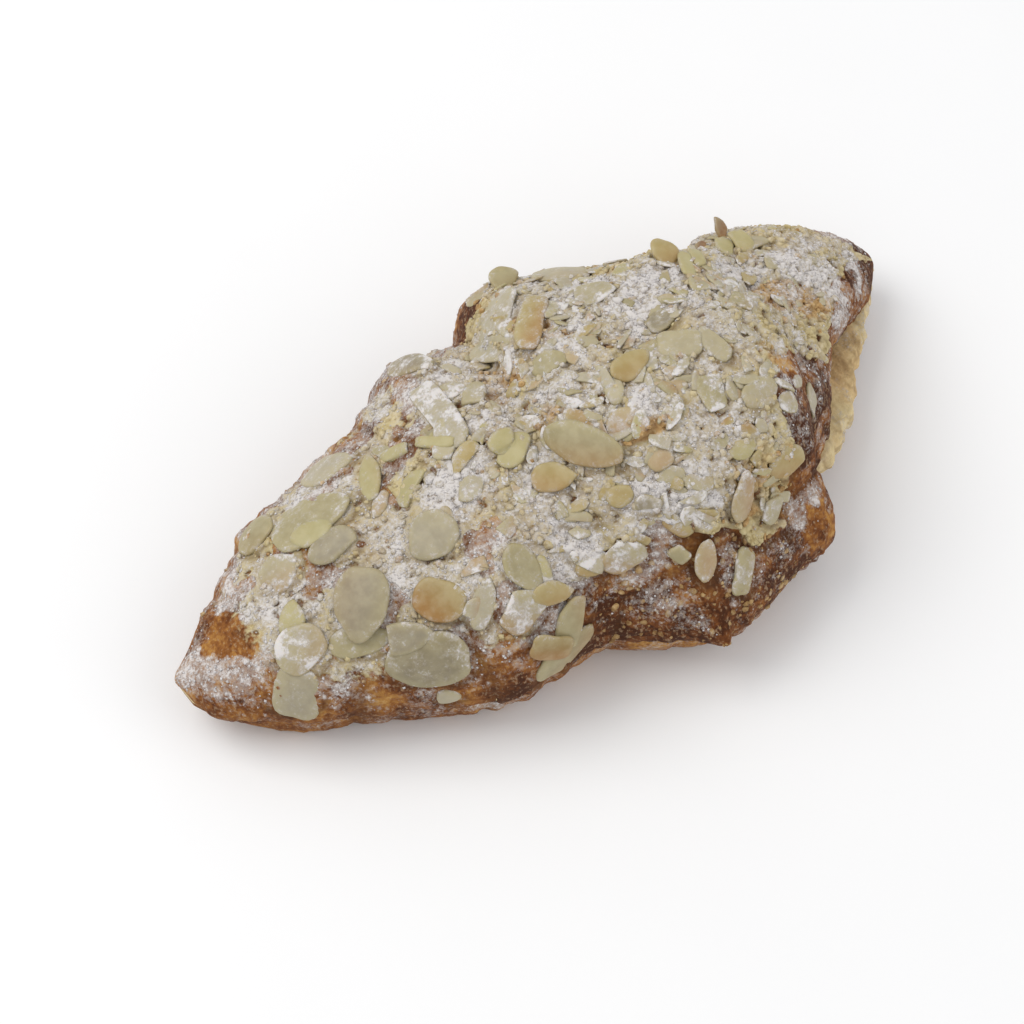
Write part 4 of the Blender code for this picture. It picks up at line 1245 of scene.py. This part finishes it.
def dusting(nodes, colour, amount):
    """Icing sugar over a colour: a thin speckled film, and white clumps. Returns colour and cover."""
    film_level = nodes.plus(nodes.noise(0.8, 3.0, 0.7), nodes.times(amount, 0.6))
    film = nodes.times(nodes.rise(film_level, 0.56, 0.84), nodes.rise(amount, 0.0, 0.1), 0.45)
    clumps = nodes.plus(nodes.noise(0.6, 3.0, 0.7), nodes.times(nodes.noise(2.2, 2.0, 0.5), 0.55))
    level = nodes.plus(clumps, nodes.times(amount, 0.5))
    cover = nodes.times(nodes.rise(level, 0.92, 1.24), nodes.rise(amount, 0.02, 0.15))
    return nodes.mix(nodes.times(cover, 0.93), nodes.mix(film, colour, SUGAR_FILM), SUGAR_COLOUR), cover


def crust_colour(nodes, bake):
    """Baked dough from golden to dark red-brown, streaked across the roll and flecked with beige."""
    streak = nodes.noise(1.1, 3.0, 0.6, stretch=(1.0, 0.45, 0.45))
    fine = nodes.noise(0.9, 3.0, 0.6)
    coarse = nodes.noise(4.5)
    level = nodes.plus(bake, nodes.swing(streak, 0.45), nodes.swing(fine), nodes.swing(coarse, 0.9))
    fleck = nodes.rise(nodes.noise(0.8, 3.0, 0.6, stretch=(1.3, 1.0, 0.8)), 0.53, 0.66)
    flecked = nodes.times(fleck, nodes.rise(bake, 0.36, 0.55), 0.6)
    return nodes.mix(flecked, nodes.ramp(level, CRUST_STOPS), FLECK_COLOUR), streak


def cream_colour(nodes, golden):
    """Baked almond cream: crumbly, beige to yellow, golden where it caught the heat."""
    fine = nodes.noise(1.1, 4.0, 0.65)
    level = nodes.plus(nodes.times(fine, 0.8), nodes.times(nodes.noise(3.5), 0.3))
    beige = nodes.ramp(level, CREAM_STOPS)
    yellow = nodes.mix(0.45, beige, CREAM_YELLOW)
    plain = nodes.mix(nodes.rise(nodes.noise(8.0, 2.0), 0.36, 0.58), beige, yellow)
    patch = nodes.plus(golden, nodes.noise(4.0), -0.62)
    return nodes.mix(nodes.rise(patch, 0.05, 0.55), plain, nodes.ramp(level, TOASTED_STOPS)), fine


def crust_material(name):
    nodes = Nodes(name, 0.75, 0.15)
    topping, bake, sugar = nodes.cover()
    crust, streak = crust_colour(nodes, bake)
    cream, crumb = cream_colour(nodes, nodes.attribute("golden"))
    ragged = nodes.plus(topping, nodes.swing(nodes.noise(1.2)))
    is_cream = nodes.rise(ragged, 0.35, 0.65)
    # Painted shade in hollows, and the browning of crumbs on the bare crust, darken the colour towards dark
    # brown.
    hollow = nodes.times(nodes.attribute("cavity"), 0.85)
    base = nodes.mix(hollow, nodes.mix(is_cream, crust, cream), SHADE_AND_BROWNING_COLOUR)
    colour, dusted = dusting(nodes, base, sugar)
    crumb_height = nodes.times(crumb, nodes.plus(nodes.times(is_cream, 0.9), 0.35))
    height = nodes.plus(crumb_height, nodes.times(dusted, 0.3), nodes.times(streak, 0.15))
    return nodes.finish(colour, height, 0.35)


def cream_material(name):
    """The layer's baked cream, painted lighter and yellower than the topping to make up for the shade it
    lies in, with painted shade in its cracks.
    """
    nodes = Nodes(name, 0.75, 0.2)
    golden = nodes.attribute("golden")
    cream, crumb = cream_colour(nodes, golden)
    # Painted light: the layer is lifted towards a light yellow cream, less on golden parts.
    brighter = nodes.plus(nodes.times(golden, -0.12), 0.52)
    base = nodes.mix(nodes.attribute("cavity"), nodes.mix(brighter, cream, PAINTED_LIGHT_CREAM), CREAM_CRACK_SHADE)
    colour, dusted = dusting(nodes, base, nodes.cover()[2])
    return nodes.finish(colour, nodes.plus(crumb, nodes.times(dusted, 0.3)), 0.35)


def flake_material(name):
    nodes = Nodes(name, 0.5)
    nodes.put(nodes.shader, "Subsurface Weight", 0.12)
    nodes.put(nodes.shader, "Subsurface Radius", (1.0, 0.7, 0.35))
    nodes.put(nodes.shader, "Subsurface Scale", 0.0012)
    mottle = nodes.times(nodes.rise(nodes.noise(2.2), 0.3, 0.7), 0.22)
    varied = nodes.mix(mottle, nodes.attribute("tone", "Color"), FLAKE_MOTTLE)
    patch = nodes.rise(nodes.noise(3.0, 2.0), 0.42, 0.62)
    amount = nodes.times(nodes.attribute("dust"), nodes.plus(nodes.times(patch, 0.75), 0.25))
    normal = nodes.add("ShaderNodeNewGeometry").outputs["Normal"]
    up = nodes.add("ShaderNodeSeparateXYZ", {"Vector": normal}).outputs["Z"]
    colour, dusted = dusting(nodes, varied, nodes.times(amount, nodes.rise(up, 0.0, 0.5)))
    fibre = nodes.noise(0.9)
    return nodes.finish(colour, nodes.plus(nodes.times(dusted, 0.6), nodes.times(fibre, 0.25)), 0.16)


def grain_material(name):
    nodes = Nodes(name, 0.85)
    colour = nodes.mix(nodes.rise(nodes.noise(1.2, 2.0), 0.35, 0.65), GRAIN_SHADE, GRAIN_COLOUR)
    return nodes.finish(colour, nodes.noise(0.2, 2.0), 0.04)


def floor_material(name):
    nodes = Nodes(name, 0.9)
    colour = nodes.mix(nodes.noise(40.0, 2.0), (0.90, 0.90, 0.90), (0.92, 0.92, 0.92))
    return nodes.finish(colour, nodes.noise(8.0, 2.0), 0.01)


# Studio


def put_up(name, data, target, way, distance):
    """Puts a camera or light this way and this far from its target, turned to look at it."""
    item = bpy.data.objects.new(name, data)
    back = Vector(way).normalized()
    item.location = Vector(target) + back * distance
    item.rotation_euler = back.to_track_quat("Z", "Y").to_euler()
    bpy.context.scene.collection.objects.link(item)
    return item


def make_camera():
    azimuth, elevation = math.radians(CAMERA_AZIMUTH), math.radians(CAMERA_ELEVATION)
    way = (math.sin(azimuth), -math.cos(azimuth), math.tan(elevation))
    data = bpy.data.cameras.new("camera")
    data.sensor_width = SENSOR_WIDTH
    data.lens = SENSOR_WIDTH * PIXELS_PER_MM * CAMERA_DISTANCE / MM / PHOTO_WIDTH
    data.shift_x = (PHOTO_WIDTH / 2 - AIM_PIXEL[0]) / PHOTO_WIDTH
    data.shift_y = (AIM_PIXEL[1] - PHOTO_WIDTH / 2) / PHOTO_WIDTH
    bpy.context.scene.camera = put_up("camera", data, to_frame(np.zeros(3)), way, CAMERA_DISTANCE)


def make_light(name, way, distance, size, power, colour):
    """A square softbox that shines at the croissant from this way."""
    data = bpy.data.lights.new(name, "AREA")
    data.shape = "SQUARE"
    data.size = size
    data.energy = power
    data.color = colour
    put_up(name, data, (0, 0, 0), way, distance)


def make_studio():
    scene = bpy.context.scene
    scene.view_settings.view_transform = "Standard"
    scene.view_settings.look = "None"
    scene.world = bpy.data.worlds.new("studio")
    scene.world.use_nodes = True
    background = scene.world.node_tree.nodes["Background"]
    background.inputs["Color"].default_value = (*SKY_COLOUR, 1)
    background.inputs["Strength"].default_value = SKY_STRENGTH
    for light in LIGHTS:
        make_light(*light)
    corners = np.array(((-1, -1, 0), (1, -1, 0), (1, 1, 0), (-1, 1, 0))) * FLOOR_SIZE / 2 / MM
    floor = new_piece("floor", corners, [np.array([[0, 1, 2, 3]])], floor_material("studio_floor"))


# Making it

CROWN_X = stations(CROWN_STATIONS)
crown_cover = crown_skin(CROWN_X[:, None], np.linspace(0, math.pi, CROWN_POINTS)[None, :])

crust = crust_material("dusted_crust")
crown = make_crown(crown_cover, crust)
make_lower(crust)
make_cream(cream_material("baked_cream"))
almond = flake_material("almond_slice")
flakes = ride(make_flakes(FLAKES, WHOLE, almond), "upper_half")
shards = ride(make_flakes(broken_flakes(), BROKEN, almond), "upper_half")
bits = ride(make_flakes(slivers(), SLIVER, almond))
dusted = [(crown, painted(crown, "cover", 2))]
dusted += [(piece, painted(piece, "dust")) for piece in (flakes, shards, bits)]
sugar = grain_material("icing_sugar")
grains = make_grains(scatter(dusted, SUGAR_GRAINS), SUGAR_GRAINS, (OCTAHEDRON, OCTAHEDRON_FACES), sugar)
ride(grains)
ride(make_crumbs(crown, CREAM_CRUMBS, crust))
make_camera()
make_studio()
